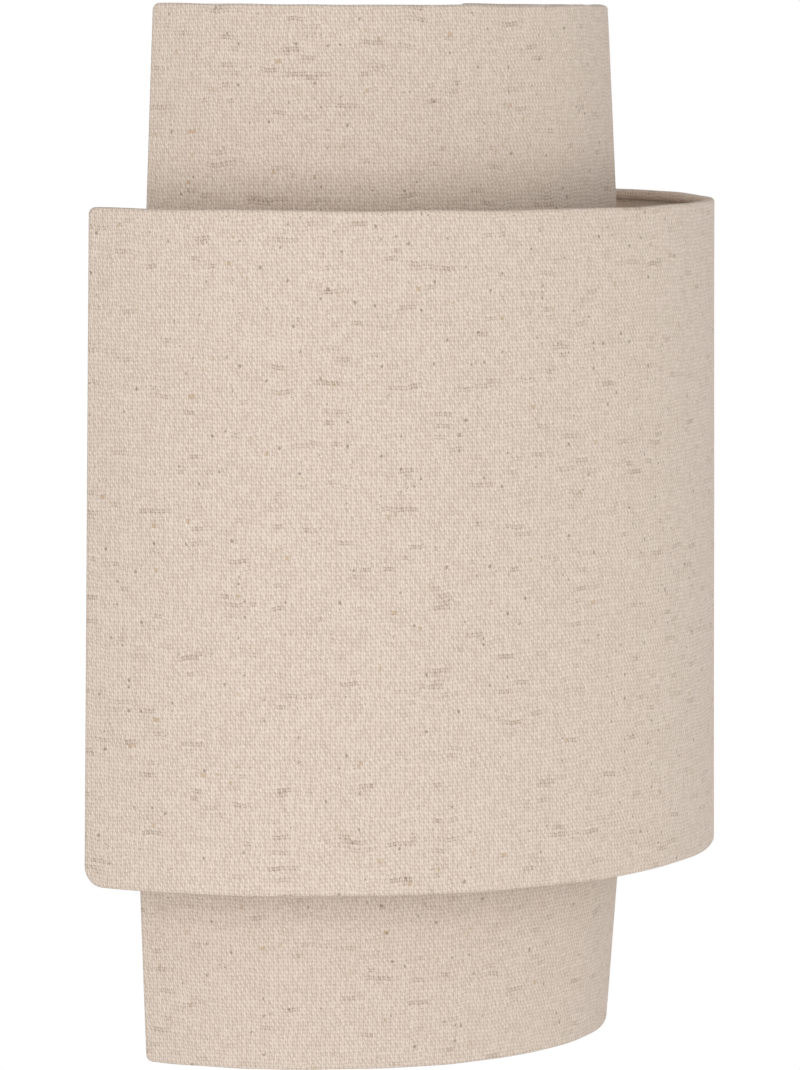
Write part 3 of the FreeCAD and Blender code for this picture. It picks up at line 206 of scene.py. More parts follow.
def bend(tier, along, height, depth):
    """Place in the light of a point on the flat band."""
    share = (height - tier["low"]) / (tier["high"] - tier["low"])
    radius = tier["low_radius"] + (tier["high_radius"] - tier["low_radius"]) * share
    angle = along / tier["mean_radius"]
    slow = Vector((angle * FACE_WAVES[0], height * FACE_WAVES[1], tier["seed"]))
    fade = min(1.0, (math.pi / 2 - abs(angle)) * WALL_FADE)
    radius += FACE_WANDER * noise.noise(slow) * fade - depth
    rim = max(0.0, 1.0 - min(height - tier["low"], tier["high"] - height) / RIM_ZONE)
    wave = noise.noise(Vector((angle * RIM_WAVES[0], tier["seed"], share * RIM_WAVES[1])))
    height += RIM_WANDER * rim * wave
    return Vector((radius * math.sin(angle), -radius * math.cos(angle), height))


# %% Build one tier's linen
MERGE_WITHIN = 1e-7
PLAIN_DEPTH = 0.12  # share of the bead's depth at an edge without a wire
PLAIN_REACH = 0.012  # distance in which it grows by the whole depth


def tier_linen(name, tier, node):
    """Cloth of one tier, with a second coordinate set that measures the flat cloth in metres."""
    tier["mean_radius"] = (tier["low_radius"] + tier["high_radius"]) / 2
    half_length = tier["mean_radius"] * math.pi / 2 - WALL_TOUCH
    low, high = tier["low"], tier["high"]
    across = round(2 * half_length / STEP_ALONG)
    upright = round((high - low) / STEP_ALONG)
    band = (half_length, low, high, tier["corner_low"], tier["corner_high"])
    face_inset = section[0][0]
    flat, places, travelled = [], [], 0.0
    before = section[0]
    for inset, depth in section:
        travelled += math.hypot(inset - before[0], depth - before[1])
        before = (inset, depth)
        for point in loop_points(*band, inset, across, upright):
            rolled = depth
            if not tier["hem_low"]:
                rolled *= plain_edge(point.y - low)
            if not tier["hem_high"]:
                rolled *= plain_edge(high - point.y)
            places.append(bend(tier, point.x, point.y, rolled))
        flat += loop_points(*band, face_inset - travelled, across, upright)
    loop_size = len(places) // len(section)
    faces = []
    for ring in range(len(section) - 1):
        for step in range(loop_size):
            a, b = ring * loop_size + step, ring * loop_size + (step + 1) % loop_size
            faces.append((a, a + loop_size, b + loop_size, b))
    on_loop = place_on_loop(across, upright)
    index = {}
    for column in range(across + 1):
        for row in range(upright + 1):
            index[column, row] = on_loop(column, row)
            if index[column, row] is None:
                index[column, row] = len(places)
                along = (half_length - face_inset) * (2 * column / across - 1)
                height = low + face_inset + (high - low - 2 * face_inset) * row / upright
                places.append(bend(tier, along, height, 0.0))
                flat.append(Vector((along, height)))
    for column in range(across):
        for row in range(upright):
            corners = ((column, row), (column + 1, row), (column + 1, row + 1), (column, row + 1))
            faces.append(tuple(index[corner] for corner in corners))
    mesh = bpy.data.meshes.new(name)
    mesh.from_pydata(places, [], faces)
    layer = mesh.uv_layers.new(name="flat_cloth")
    for loop in mesh.loops:
        layer.data[loop.index].uv = flat[loop.vertex_index]
    merge_doubles(mesh)
    mesh.shade_smooth()
    piece = bpy.data.objects.new(name, mesh)
    bpy.context.scene.collection.objects.link(piece)
    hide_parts(node)
    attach(piece, "shade")
    turn_in = travelled - face_inset
    flat_size = (2 * (half_length + turn_in), high - low + 2 * turn_in)
    in_mm = [round(v * 1000) for v in flat_size]
    print(name, "is cut from", in_mm, "mm and has", len(mesh.polygons), "faces")
    return piece


def merge_doubles(mesh):
    """Join the points that coincide, as in the inner loops' sharp corners, and face all faces outwards."""
    work = bmesh.new()
    work.from_mesh(mesh)
    bmesh.ops.remove_doubles(work, verts=work.verts, dist=MERGE_WITHIN)
    bmesh.ops.recalc_face_normals(work, faces=work.faces)
    work.to_mesh(mesh)
    work.free()


def plain_edge(distance):
    """How much of the bead's depth is left near an edge that isn't rolled over a wire."""
    return min(1.0, PLAIN_DEPTH + max(distance, 0.0) / PLAIN_REACH)


def place_on_loop(across, upright):
    """Which point of the innermost loop a place of the middle grid is, if it is on that loop."""
    right = across + CORNER_STEPS
    top = right + upright + CORNER_STEPS
    left = top + across + CORNER_STEPS

    def on_loop(column, row):
        if row == 0:
            return column
        if column == across:
            return right + row
        if row == upright:
            return top + (across - column)
        if column == 0:
            return left + (upright - row)
        return None

    return on_loop


# %% [markdown]
# ## The three tiers
#
# The heights come from the model's covers. Each rim's radius comes from its wire, which lies a fixed depth
# behind the cloth's face. The outer tier's lower corners at the wall have a larger rounding than the rest.

# %% Make the tiers
WIRE_BEHIND_FACE = 0.00142
FOOT_CORNER = 0.0074
OTHER_CORNER = 0.0026


def rim_radius(ring_name):
    """Radius of the cloth's face over a rim's wire."""
    return -node_box(ring_name)[0].y + WIRE_BEHIND_FACE


def node_box(name):
    """Lowest and highest corner of a node of the model."""
    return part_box(name)


outer_low, outer_high = node_box("outer_cover")
upper_low, upper_high = node_box("upper_cover")
lower_low, lower_high = node_box("lower_cover")
knee_radius = -upper_low.y
tiers = {
    "outer_linen": ({
        "low": outer_low.z, "high": outer_high.z,
        "low_radius": rim_radius("outer_bottom_ring"), "high_radius": rim_radius("outer_top_ring"),
        "corner_low": FOOT_CORNER, "corner_high": OTHER_CORNER,
        "hem_low": True, "hem_high": True, "seed": 1.3,
    }, "outer_cover"),
    "upper_linen": ({
        "low": upper_low.z, "high": upper_high.z,
        "low_radius": knee_radius, "high_radius": rim_radius("upper_rim_ring"),
        "corner_low": OTHER_CORNER, "corner_high": OTHER_CORNER,
        "hem_low": False, "hem_high": True, "seed": 7.9,
    }, "upper_cover"),
    "lower_linen": ({
        "low": lower_low.z, "high": lower_high.z,
        "low_radius": rim_radius("lower_rim_ring"), "high_radius": knee_radius,
        "corner_low": OTHER_CORNER, "corner_high": OTHER_CORNER,
        "hem_low": True, "hem_high": False, "seed": 4.1,
    }, "lower_cover"),
}
linens = [tier_linen(name, tier, node) for name, (tier, node) in tiers.items()]

# %% [markdown]
# ## Building materials from parts
#
# A finish is a Principled shader whose colour, roughness and normal change over the surface. The effects that
# several finishes share are node groups with named inputs and outputs. The helpers below keep the wiring
# short: one adds a node, one adds a maths node, and one makes an empty group.

# %% Helpers for node trees
def add(tree, kind, values=None, **settings):
    """A node of a tree, with its settings and its inputs' plain values."""
    node = tree.nodes.new(kind)
    for name, value in settings.items():
        setattr(node, name, value)
    for name, value in (values or {}).items():
        node.inputs[name].default_value = value
    return node


def maths(tree, operation, *inputs):
    """Output of a maths node whose inputs are sockets or plain numbers."""
    node = add(tree, "ShaderNodeMath", operation=operation)
    for place, value in enumerate(inputs):
        if isinstance(value, (int, float)):
            node.inputs[place].default_value = value
        else:
            tree.links.new(value, node.inputs[place])
    return node.outputs[0]


def vector_of(tree, x, y, z=0.0):
    """A vector socket from three sockets or plain numbers."""
    node = add(tree, "ShaderNodeCombineXYZ")
    for place, value in enumerate((x, y, z)):
        if isinstance(value, (int, float)):
            node.inputs[place].default_value = value
        else:
            tree.links.new(value, node.inputs[place])
    return node.outputs[0]


def noise_of(tree, place, scale, detail):
    """Value of a noise at a place."""
    node = add(tree, "ShaderNodeTexNoise", {"Scale": scale, "Detail": detail, "Roughness": 0.5})
    tree.links.new(place, node.inputs["Vector"])
    return node.outputs["Fac"]


def blend_colours(tree, share, first, second):
    """Mix of two colours, each a socket or a plain colour, by a share."""
    node = add(tree, "ShaderNodeMix", data_type="RGBA")
    if isinstance(share, (int, float)):
        node.inputs["Factor"].default_value = share
    else:
        tree.links.new(share, node.inputs["Factor"])
    for name, value in (("A", first), ("B", second)):
        socket = [s for s in node.inputs if s.name == name and s.type == "RGBA"][0]
        if isinstance(value, tuple):
            socket.default_value = (*value, 1.0)
        else:
            tree.links.new(value, socket)
    return [s for s in node.outputs if s.type == "RGBA"][0]


def stretch(tree, value, low, high, out_low=0.0, out_high=1.0):
    """A value's range from low to high, smoothly mapped onto another range."""
    node = add(tree, "ShaderNodeMapRange", interpolation_type="SMOOTHSTEP")
    tree.links.new(value, node.inputs["Value"])
    for name, number in (("From Min", low), ("From Max", high), ("To Min", out_low), ("To Max", out_high)):
        node.inputs[name].default_value = number
    return node.outputs["Result"]


def new_group(name, inputs, outputs):
    """Empty shader node group with named sockets, each given as (name, kind, value)."""
    group = bpy.data.node_groups.new(name, "ShaderNodeTree")
    for socket_name, kind, value in inputs:
        socket = group.interface.new_socket(socket_name, in_out="INPUT", socket_type=kind)
        if value is not None:
            socket.default_value = value
    for socket_name, kind in outputs:
        group.interface.new_socket(socket_name, in_out="OUTPUT", socket_type=kind)
    entry = group.nodes.new("NodeGroupInput")
    exit_node = group.nodes.new("NodeGroupOutput")
    return group, entry.outputs, exit_node.inputs


FLOAT, VECTOR = "NodeSocketFloat", "NodeSocketVector"

# %% [markdown]
# ## The weave
#
# Furnishing linen is a plain weave: each warp thread passes over one weft thread and under the next. Here the
# warp stands upright, about eleven threads to the centimetre, and the thicker weft lies level, about seven to
# the centimetre. The group measures the flat cloth in threads. A thread rises and falls along its length as
# it goes over and under, and falls off to its sides. The higher of the two threads is what is seen.
#
# Three things keep it from looking like a printed grid. The loom draws the warp threads together in pairs,
# the spun yarn leans where it passes over, and every thread's thickness changes slowly along it. Flecks of
# the flax's bark are drawn from a cell pattern, where a few of the cells hold one and most are empty.

# %% Helpers for the weave
WARP_PITCH = 0.00088
WEFT_PITCH = 0.00139


def scaled(group, s, z, pace_s, pace_z, seed):
    """Place on the flat cloth, scaled by its own pace each way, at a seed's depth."""
    return vector_of(group, maths(group, "MULTIPLY", s, pace_s), maths(group, "MULTIPLY", z, pace_z), seed)


def wandering(group, s, z, counted, pitch, paces, share):
    """One coordinate counted in threads, which wanders slowly by a share of a thread."""
    slow = noise_of(group, scaled(group, s, z, *paces), 1.0, 3.0)
    even = maths(group, "DIVIDE", counted, pitch)
    drift = maths(group, "MULTIPLY", maths(group, "SUBTRACT", slow, 0.5), share)
    return maths(group, "ADD", even, drift)


def parity(group, number):
    """One for an even thread and minus one for an odd one."""
    return maths(group, "COSINE", maths(group, "MULTIPLY", number, math.pi))


def rounded(group, place, width):
    """Height across a round thread, from a place measured from its middle."""
    return maths(group, "MAXIMUM", maths(group, "COSINE", maths(group, "MULTIPLY", place, width)), 0.0)


def arched(group, place, over):
    """Swing along a thread between two crossings: up where the warp is over, and down where it is under."""
    return maths(group, "MULTIPLY", maths(group, "SINE", maths(group, "MULTIPLY", place, math.pi)), over)


def run_along(group, along, thread, pace, step, seed=0.0):
    """Uneven spinning of a thread: a noise that changes along it, and from thread to thread."""
    return noise_of(group, scaled(group, along, thread, pace, step, seed), 1.0, 2.0)


# %% The weave group
CLOTH_WANDER = 2.0  # how far a thread wanders, in threads
LEAN = 0.31  # how far a thread leans across one crossing, in threads
PAIRING = 0.095  # how far two warp threads draw together, in threads
WANDER_WARP = (70.0, 130.0, 3.1)  # paces along and up the cloth, and seed
WANDER_WEFT = (130.0, 70.0, 8.7)
FIBRE_PACES = (3300.0, 2100.0, 6.3)
WARP_RUN = (130.0, 7.31)  # pace along a thread, and step from thread to thread
WEFT_RUN = (75.0, 5.77)
WARP_ROUND, WEFT_ROUND = 2.9, 3.0  # how narrow a thread's round back is
WARP_LIFT = (0.42, 0.57)  # a thread's swing and mean height as it goes over and under
WEFT_LIFT = (-0.30, 0.52)
WARP_SPIN = (0.36, 0.82)  # swing and least value of the factor that uneven spinning puts on its height
WEFT_SPIN = (0.50, 0.75)
CHANCE_HEIGHT = (0.46, 0.77)  # the same, by chance from crossing to crossing
FIBRE_HEIGHT = 0.22
# the gap mask made between these heights is where painted shade falls between the threads
GAP_SHADE_HEIGHTS = (0.66, 0.26)  # heights between which a gap opens
CROSSOVER = 0.10  # height difference over which one thread hides the other
SPIN_SHADE, TOP_SHADE, CHANCE_SHADE, FIBRE_SHADE = 0.24, 0.20, 0.20, 0.50
STREAK_RUN, STREAK_SPAN = (70.0, 9.13, 5.0), (0.60, 0.71)  # as WARP_RUN, with a seed; the noise's range
TAN_RUN, TAN_SPAN = (150.0, 3.71, 2.0), (0.70, 0.76)
FLECK_CELLS, FLECK_BENDS = (420.0, 350.0, 0.0), (2300.0, 1700.0, 4.4)  # paces and seed of each
FLECK_RARITY, FLECK_SIZE = 4.6, 0.27
FLECK_RAGGED, FLECK_TRIM = 0.44, 0.22
FLECK_EDGE = (-0.03, 0.06)


def fleck_masks(group, s, z, out):
    """Ragged specks in a few of the cells, and a number that tells a speck's kind."""
    flecks = add(group, "ShaderNodeTexVoronoi", {"Scale": 1.0, "Randomness": 1.0})
    bent = noise_of(group, scaled(group, s, z, *FLECK_BENDS), 1.0, 2.0)
    group.links.new(scaled(group, s, z, *FLECK_CELLS), flecks.inputs["Vector"])
    kinds = add(group, "ShaderNodeSeparateColor")
    group.links.new(flecks.outputs["Color"], kinds.inputs[0])
    size = maths(group, "MULTIPLY", maths(group, "POWER", kinds.outputs[0], FLECK_RARITY), FLECK_SIZE)
    trimmed = maths(group, "SUBTRACT", flecks.outputs["Distance"], FLECK_TRIM)
    reach = maths(group, "MULTIPLY_ADD", bent, FLECK_RAGGED, trimmed)
    group.links.new(stretch(group, maths(group, "SUBTRACT", size, reach), *FLECK_EDGE), out["Fleck"])
    group.links.new(kinds.outputs[1], out["Fleck Kind"])


def weave_group():
    """Weave height, a gap mask for painted shade, the threads' shades, and streaks, tan stretches and flecks.
    """
    group, given, out = new_group(
        "plain_weave",
        [("Flat Cloth", VECTOR, None), ("Wander", FLOAT, CLOTH_WANDER)],
        [(name, FLOAT) for name in ("Height", "Gap Shade", "Shade", "Streak", "Tan", "Fleck", "Fleck Kind")],
    )
    parts = add(group, "ShaderNodeSeparateXYZ")
    group.links.new(given["Flat Cloth"], parts.inputs[0])
    s, z = parts.outputs[0], parts.outputs[1]
    u = wandering(group, s, z, s, WARP_PITCH, WANDER_WARP, given["Wander"])
    v = wandering(group, s, z, z, WEFT_PITCH, WANDER_WEFT, given["Wander"])
    warp, weft = maths(group, "FLOOR", u), maths(group, "FLOOR", v)
    across, up_row = maths(group, "FRACT", u), maths(group, "FRACT", v)
    odd_warp = parity(group, warp)
    over = maths(group, "MULTIPLY", odd_warp, parity(group, weft))
    crossing = add(group, "ShaderNodeTexWhiteNoise", noise_dimensions="2D")
    group.links.new(vector_of(group, warp, weft), crossing.inputs["Vector"])
    chance = crossing.outputs["Value"]
    fibre = noise_of(group, scaled(group, s, z, *FIBRE_PACES), 1.0, 2.0)
    warp_run, weft_run = run_along(group, z, warp, *WARP_RUN), run_along(group, s, weft, *WEFT_RUN)

    in_row = maths(group, "SUBTRACT", up_row, 0.5)
    leaning = maths(group, "MULTIPLY", maths(group, "MULTIPLY", in_row, LEAN), over)
    beside = maths(group, "ADD", maths(group, "SUBTRACT", across, 0.5), leaning)
    beside = maths(group, "MULTIPLY_ADD", odd_warp, -PAIRING, beside)
    warp_rise = maths(group, "MULTIPLY_ADD", arched(group, up_row, over), *WARP_LIFT)
    weft_rise = maths(group, "MULTIPLY_ADD", arched(group, across, over), *WEFT_LIFT)
    warp_height = maths(group, "MULTIPLY", rounded(group, beside, WARP_ROUND), warp_rise)
    weft_height = maths(group, "MULTIPLY", rounded(group, in_row, WEFT_ROUND), weft_rise)
    warp_height = maths(group, "MULTIPLY", warp_height, maths(group, "MULTIPLY_ADD", warp_run, *WARP_SPIN))
    weft_height = maths(group, "MULTIPLY", weft_height, maths(group, "MULTIPLY_ADD", weft_run, *WEFT_SPIN))
    top = maths(group, "MAXIMUM", warp_height, weft_height)
    top = maths(group, "MULTIPLY", top, maths(group, "MULTIPLY_ADD", chance, *CHANCE_HEIGHT))
    group.links.new(maths(group, "MULTIPLY_ADD", fibre, FIBRE_HEIGHT, top), out["Height"])
    # mask of the gaps between threads, which the linen's colour darkens as painted shade
    group.links.new(stretch(group, top, *GAP_SHADE_HEIGHTS), out["Gap Shade"])

    above = maths(group, "SUBTRACT", warp_height, weft_height)
    on_top = stretch(group, above, -CROSSOVER, CROSSOVER)
    spun = add(group, "ShaderNodeMix", data_type="FLOAT")
    for value, place in ((on_top, 0), (weft_run, 2), (warp_run, 3)):
        group.links.new(value, spun.inputs[place])
    shade = maths(group, "MULTIPLY", on_top, TOP_SHADE)
    shade = maths(group, "MULTIPLY_ADD", spun.outputs[0], SPIN_SHADE, shade)
    shade = maths(group, "MULTIPLY_ADD", chance, CHANCE_SHADE, shade)
    group.links.new(maths(group, "MULTIPLY_ADD", fibre, FIBRE_SHADE, shade), out["Shade"])
    group.links.new(stretch(group, run_along(group, s, weft, *STREAK_RUN), *STREAK_SPAN), out["Streak"])
    group.links.new(stretch(group, run_along(group, s, weft, *TAN_RUN), *TAN_SPAN), out["Tan"])
    fleck_masks(group, s, z, out)
    return group


weave = weave_group()
repeat = [round(2 * pitch * 1000, 2) for pitch in (WARP_PITCH, WEFT_PITCH)]
print("the weave repeats every", repeat, "mm")

# %% [markdown]
# ## The linen
#
# The raised threads are pale sand, and the gaps between them get painted shade, a warm brown, for the shade
# that falls between the threads. Along some stretches of the weft the threads turn browner and the gaps'
# painted shade deepens, and short stretches of it are tan. Most flecks are dark, and some are golden. The
# whole cloth also drifts a little between a pinker and a yellower beige, as undyed flax does.

# %% The linen's material
LINEN_PALE = (0.950, 0.825, 0.720)
LINEN_MID = (0.760, 0.625, 0.515)
# painted shade: the brown put into the gaps between threads, where shade falls in the weave
LINEN_GAP_SHADE = (0.270, 0.190, 0.130)
LINEN_PINK = (0.860, 0.715, 0.640)
STREAK_BROWN = (0.470, 0.350, 0.250)
TAN_STRETCH = (0.600, 0.400, 0.230)
FLECK_DARK = (0.150, 0.110, 0.075)
FLECK_GOLD = (0.520, 0.380, 0.210)
SHADE_SPAN = (0.30, 0.95)
DRIFT_SCALE, DRIFT_SPAN, DRIFT_MOST = 110.0, (0.50, 0.72), 0.22
STREAK_SHARE, TAN_SHARE, FLECK_SHARE = 0.20, 0.60, 0.54
# painted shade: a streak's gaps get more of the painted gap shade
STREAK_GAP_SHADE = 0.34  # how much darker a streak's gaps are
GOLD_SPAN = (0.74, 0.80)  # flecks whose kind is above this are golden
# share of painted shade in the linen's gaps
LINEN_GAP_SHADE_SHARE = 0.32
LINEN_ROUGH = (0.3, 1.0, 0.95, 0.82)  # two heights, and the roughness at each
LINEN_BUMP, LINEN_RELIEF = 0.9, 0.00026
LINEN_SHEEN, LINEN_SHEEN_ROUGH, LINEN_SPECULAR = 0.08, 0.6, 0.25


def linen_colour(tree, woven, place, gap_shade_share):
    """Colour of the cloth from the weave's masks and a slow drift over the cloth, with painted shade in the
    gaps between threads.
    """
    shade = stretch(tree, woven.outputs["Shade"], *SHADE_SPAN)
    colour = blend_colours(tree, shade, LINEN_MID, LINEN_PALE)
    drift = stretch(tree, noise_of(tree, place, DRIFT_SCALE, 2.0), *DRIFT_SPAN, 0.0, DRIFT_MOST)
    colour = blend_colours(tree, drift, colour, LINEN_PINK)
    streak = woven.outputs["Streak"]
    colour = blend_colours(tree, maths(tree, "MULTIPLY", streak, STREAK_SHARE), colour, STREAK_BROWN)
    tan = maths(tree, "MULTIPLY", woven.outputs["Tan"], TAN_SHARE)
    colour = blend_colours(tree, tan, colour, TAN_STRETCH)
    # painted shade: the gaps between threads are darkened with a brown, deeper along streaks
    gap_shade_depth = maths(tree, "MULTIPLY_ADD", streak, STREAK_GAP_SHADE, gap_shade_share)
    painted_gap_shade = maths(tree, "MULTIPLY", woven.outputs["Gap Shade"], gap_shade_depth)
    colour = blend_colours(tree, painted_gap_shade, colour, LINEN_GAP_SHADE)
    golden = stretch(tree, woven.outputs["Fleck Kind"], *GOLD_SPAN)
    fleck = blend_colours(tree, golden, FLECK_DARK, FLECK_GOLD)
    return blend_colours(tree, maths(tree, "MULTIPLY", woven.outputs["Fleck"], FLECK_SHARE), colour, fleck)


def linen_material():
    """Coarse natural linen."""
    material = bpy.data.materials.new("natural_linen")
    material.use_nodes = True
    tree = material.node_tree
    shader = tree.nodes["Principled BSDF"]
    flat = add(tree, "ShaderNodeUVMap", uv_map="flat_cloth").outputs["UV"]
    woven = add(tree, "ShaderNodeGroup", node_tree=weave)
    tree.links.new(flat, woven.inputs["Flat Cloth"])
    tree.links.new(linen_colour(tree, woven, flat, LINEN_GAP_SHADE_SHARE), shader.inputs["Base Color"])
    tree.links.new(stretch(tree, woven.outputs["Height"], *LINEN_ROUGH), shader.inputs["Roughness"])
    bump = add(tree, "ShaderNodeBump", {"Strength": LINEN_BUMP, "Distance": LINEN_RELIEF})
    tree.links.new(woven.outputs["Height"], bump.inputs["Height"])
    tree.links.new(bump.outputs["Normal"], shader.inputs["Normal"])
    shader.inputs["Sheen Weight"].default_value = LINEN_SHEEN
    shader.inputs["Sheen Roughness"].default_value = LINEN_SHEEN_ROUGH
    shader.inputs["Specular IOR Level"].default_value = LINEN_SPECULAR
    return material


natural_linen = linen_material()
for piece in linens:
    piece.data.materials.append(natural_linen)
print("linen on", [piece.name for piece in linens])

# %% [markdown]
# ## The laminate
#
# The stiff film behind the cloth is milky, so the linen's threads show through it from inside, with the same
# painted shade in their gaps. The film's own colour is a brown darker than the linen: painted shade of the
# tiers' insides over the film's milky tint. It has no flat coordinates of its own, but the angle round the
# light and the height measure it just as well.

# %% The laminate's material
# painted shade: the film's colour is a brown darker than the linen, for the shade inside the tiers
FILM_MILK_AND_SHADE = (0.660, 0.560, 0.450)
FILM_RADIUS = 0.150
FILM_SHARE = 0.32  # how much of the film's own colour hides the linen
# share of painted shade in the gaps of the linen seen through the film
FILM_GAP_SHADE_SHARE = 0.40
FILM_ROUGH = (0.3, 0.7, 0.42, 0.58)  # two values of the haze, and the roughness at each
FILM_BUMP, FILM_RELIEF = 0.25, 0.0001
FILM_WANDER = 1.2
HAZE_SCALE = 600.0


def laminate_material():
    """Milky film with the linen behind it, its colour darkened with painted shade."""
    material = bpy.data.materials.new("laminate_over_linen")
    material.use_nodes = True
    tree = material.node_tree
    shader = tree.nodes["Principled BSDF"]
    parts = add(tree, "ShaderNodeSeparateXYZ")
    tree.links.new(add(tree, "ShaderNodeTexCoord").outputs["Object"], parts.inputs[0])
    angle = maths(tree, "ARCTAN2", parts.outputs[0], maths(tree, "MULTIPLY", parts.outputs[1], -1.0))
    place = vector_of(tree, maths(tree, "MULTIPLY", angle, FILM_RADIUS), parts.outputs[2])
    woven = add(tree, "ShaderNodeGroup", {"Wander": FILM_WANDER}, node_tree=weave)
    tree.links.new(place, woven.inputs["Flat Cloth"])
    linen = linen_colour(tree, woven, place, FILM_GAP_SHADE_SHARE)
    # painted shade: the film's dark brown is mixed over the linen
    colour = blend_colours(tree, FILM_SHARE, linen, FILM_MILK_AND_SHADE)
    tree.links.new(colour, shader.inputs["Base Color"])
    haze = noise_of(tree, place, HAZE_SCALE, 3.0)
    tree.links.new(stretch(tree, haze, *FILM_ROUGH), shader.inputs["Roughness"])
    bump = add(tree, "ShaderNodeBump", {"Strength": FILM_BUMP, "Distance": FILM_RELIEF})
    tree.links.new(woven.outputs["Height"], bump.inputs["Height"])
    tree.links.new(bump.outputs["Normal"], shader.inputs["Normal"])
    return material


# %% [markdown]
# ## Finishes of the hidden pieces
#
# Most rigid pieces keep the model's own meshes and only get finishes. Two groups serve them. The first makes
# the slight cloudiness that any coated, plated or moulded surface has, with a fine grain for its normal.
# The second finds the edges that handling rubs first.

# %% Groups for cloudiness and rubbed edges
EDGE_SPAN, PATCH_SPAN = (0.52, 0.60), (0.42, 0.62)
PATCH_SCALE = 180.0


def cloud_group():
    """Slow cloudiness and fine grain over a surface, measured in metres."""
    group, given, out = new_group(
        "cloud_and_grain",
        [("Cloud Size", FLOAT, 0.02), ("Grain Size", FLOAT, 0.0008)],
        [("Cloud", FLOAT), ("Grain", FLOAT)],
    )
    place = add(group, "ShaderNodeTexCoord").outputs["Object"]
    for name, size in (("Cloud", "Cloud Size"), ("Grain", "Grain Size")):
        texture = add(group, "ShaderNodeTexNoise", {"Detail": 3.0, "Roughness": 0.55})
        group.links.new(place, texture.inputs["Vector"])
        group.links.new(maths(group, "DIVIDE", 1.0, given[size]), texture.inputs["Scale"])
        group.links.new(texture.outputs["Fac"], out[name])
    return group


def rub_group():
    """Mask of the outer edges, broken up by a noise, where a coating has been rubbed."""
    group, given, out = new_group("rubbed_edges", [("Amount", FLOAT, 0.5)], [("Rub", FLOAT)])
    sharpness = add(group, "ShaderNodeNewGeometry").outputs["Pointiness"]
    place = add(group, "ShaderNodeTexCoord").outputs["Object"]
    patchy = noise_of(group, place, PATCH_SCALE, 3.0)
    edge = stretch(group, sharpness, *EDGE_SPAN)
    rub = maths(group, "MULTIPLY", edge, stretch(group, patchy, *PATCH_SPAN))
    group.links.new(maths(group, "MULTIPLY", rub, given["Amount"]), out["Rub"])
    return group


clouds, rubbed = cloud_group(), rub_group()
print("shared groups:", [g.name for g in (weave, clouds, rubbed)])

# %% One maker for the plain finishes
CLOUD_SPAN = (0.35, 0.65)
GRAIN_BUMP, GRAIN_RELIEF = 0.5, 0.00002
RUBBED_LIGHTER, RUBBED_PALER = 1.25, 0.03


def finish_material(name, colour, second, roughness, metallic=0.0, grain=0.0008, cloud=0.02, rub=0.2):
    """A coated, plated or moulded finish: two close colours in slow clouds, and a fine grain."""
    material = bpy.data.materials.new(name)
    material.use_nodes = True
    tree = material.node_tree
    shader = tree.nodes["Principled BSDF"]
    cloudy = add(tree, "ShaderNodeGroup", {"Cloud Size": cloud, "Grain Size": grain}, node_tree=clouds)
    edges = add(tree, "ShaderNodeGroup", {"Amount": rub}, node_tree=rubbed)
    share = stretch(tree, cloudy.outputs["Cloud"], *CLOUD_SPAN)
    base = blend_colours(tree, share, colour, second)
    lighter = tuple(min(1.0, c * RUBBED_LIGHTER + RUBBED_PALER) for c in colour)
    worn = blend_colours(tree, edges.outputs["Rub"], base, lighter)
    tree.links.new(worn, shader.inputs["Base Color"])
    low, high = roughness
    rough = maths(tree, "MULTIPLY_ADD", cloudy.outputs["Grain"], high - low, low)
    tree.links.new(rough, shader.inputs["Roughness"])
    bump = add(tree, "ShaderNodeBump", {"Strength": GRAIN_BUMP, "Distance": GRAIN_RELIEF})
    tree.links.new(cloudy.outputs["Grain"], bump.inputs["Height"])
    tree.links.new(bump.outputs["Normal"], shader.inputs["Normal"])
    shader.inputs["Metallic"].default_value = metallic
    return material


# %% The earth lead's sleeve
EARTH_GREEN = (0.080, 0.300, 0.050)
EARTH_YELLOW = (0.700, 0.560, 0.040)
STRIPE_TILT = (0.8, 0.6)  # share of the two ways that the stripe's side faces
STRIPE_EDGE = 0.05


def striped_sleeve():
    """Green and yellow sleeve: the side of the lead that a face is on picks its colour."""
    material = finish_material("striped_sleeve", EARTH_GREEN, EARTH_GREEN, (0.3, 0.45))
    tree = material.node_tree
    shader = tree.nodes["Principled BSDF"]
    facing = add(tree, "ShaderNodeSeparateXYZ")
    tree.links.new(add(tree, "ShaderNodeTexCoord").outputs["Normal"], facing.inputs[0])
    side = maths(tree, "MULTIPLY", facing.outputs[0], STRIPE_TILT[0])
    side = maths(tree, "MULTIPLY_ADD", facing.outputs[2], STRIPE_TILT[1], side)
    stripe = stretch(tree, side, -STRIPE_EDGE, STRIPE_EDGE)
    colour = blend_colours(tree, stripe, EARTH_GREEN, EARTH_YELLOW)
    tree.links.new(colour, shader.inputs["Base Color"])
    return material


# %% [markdown]
# ## Which finish goes where
#
# The record names a material slot for every node, so the finishes are given out by slot.

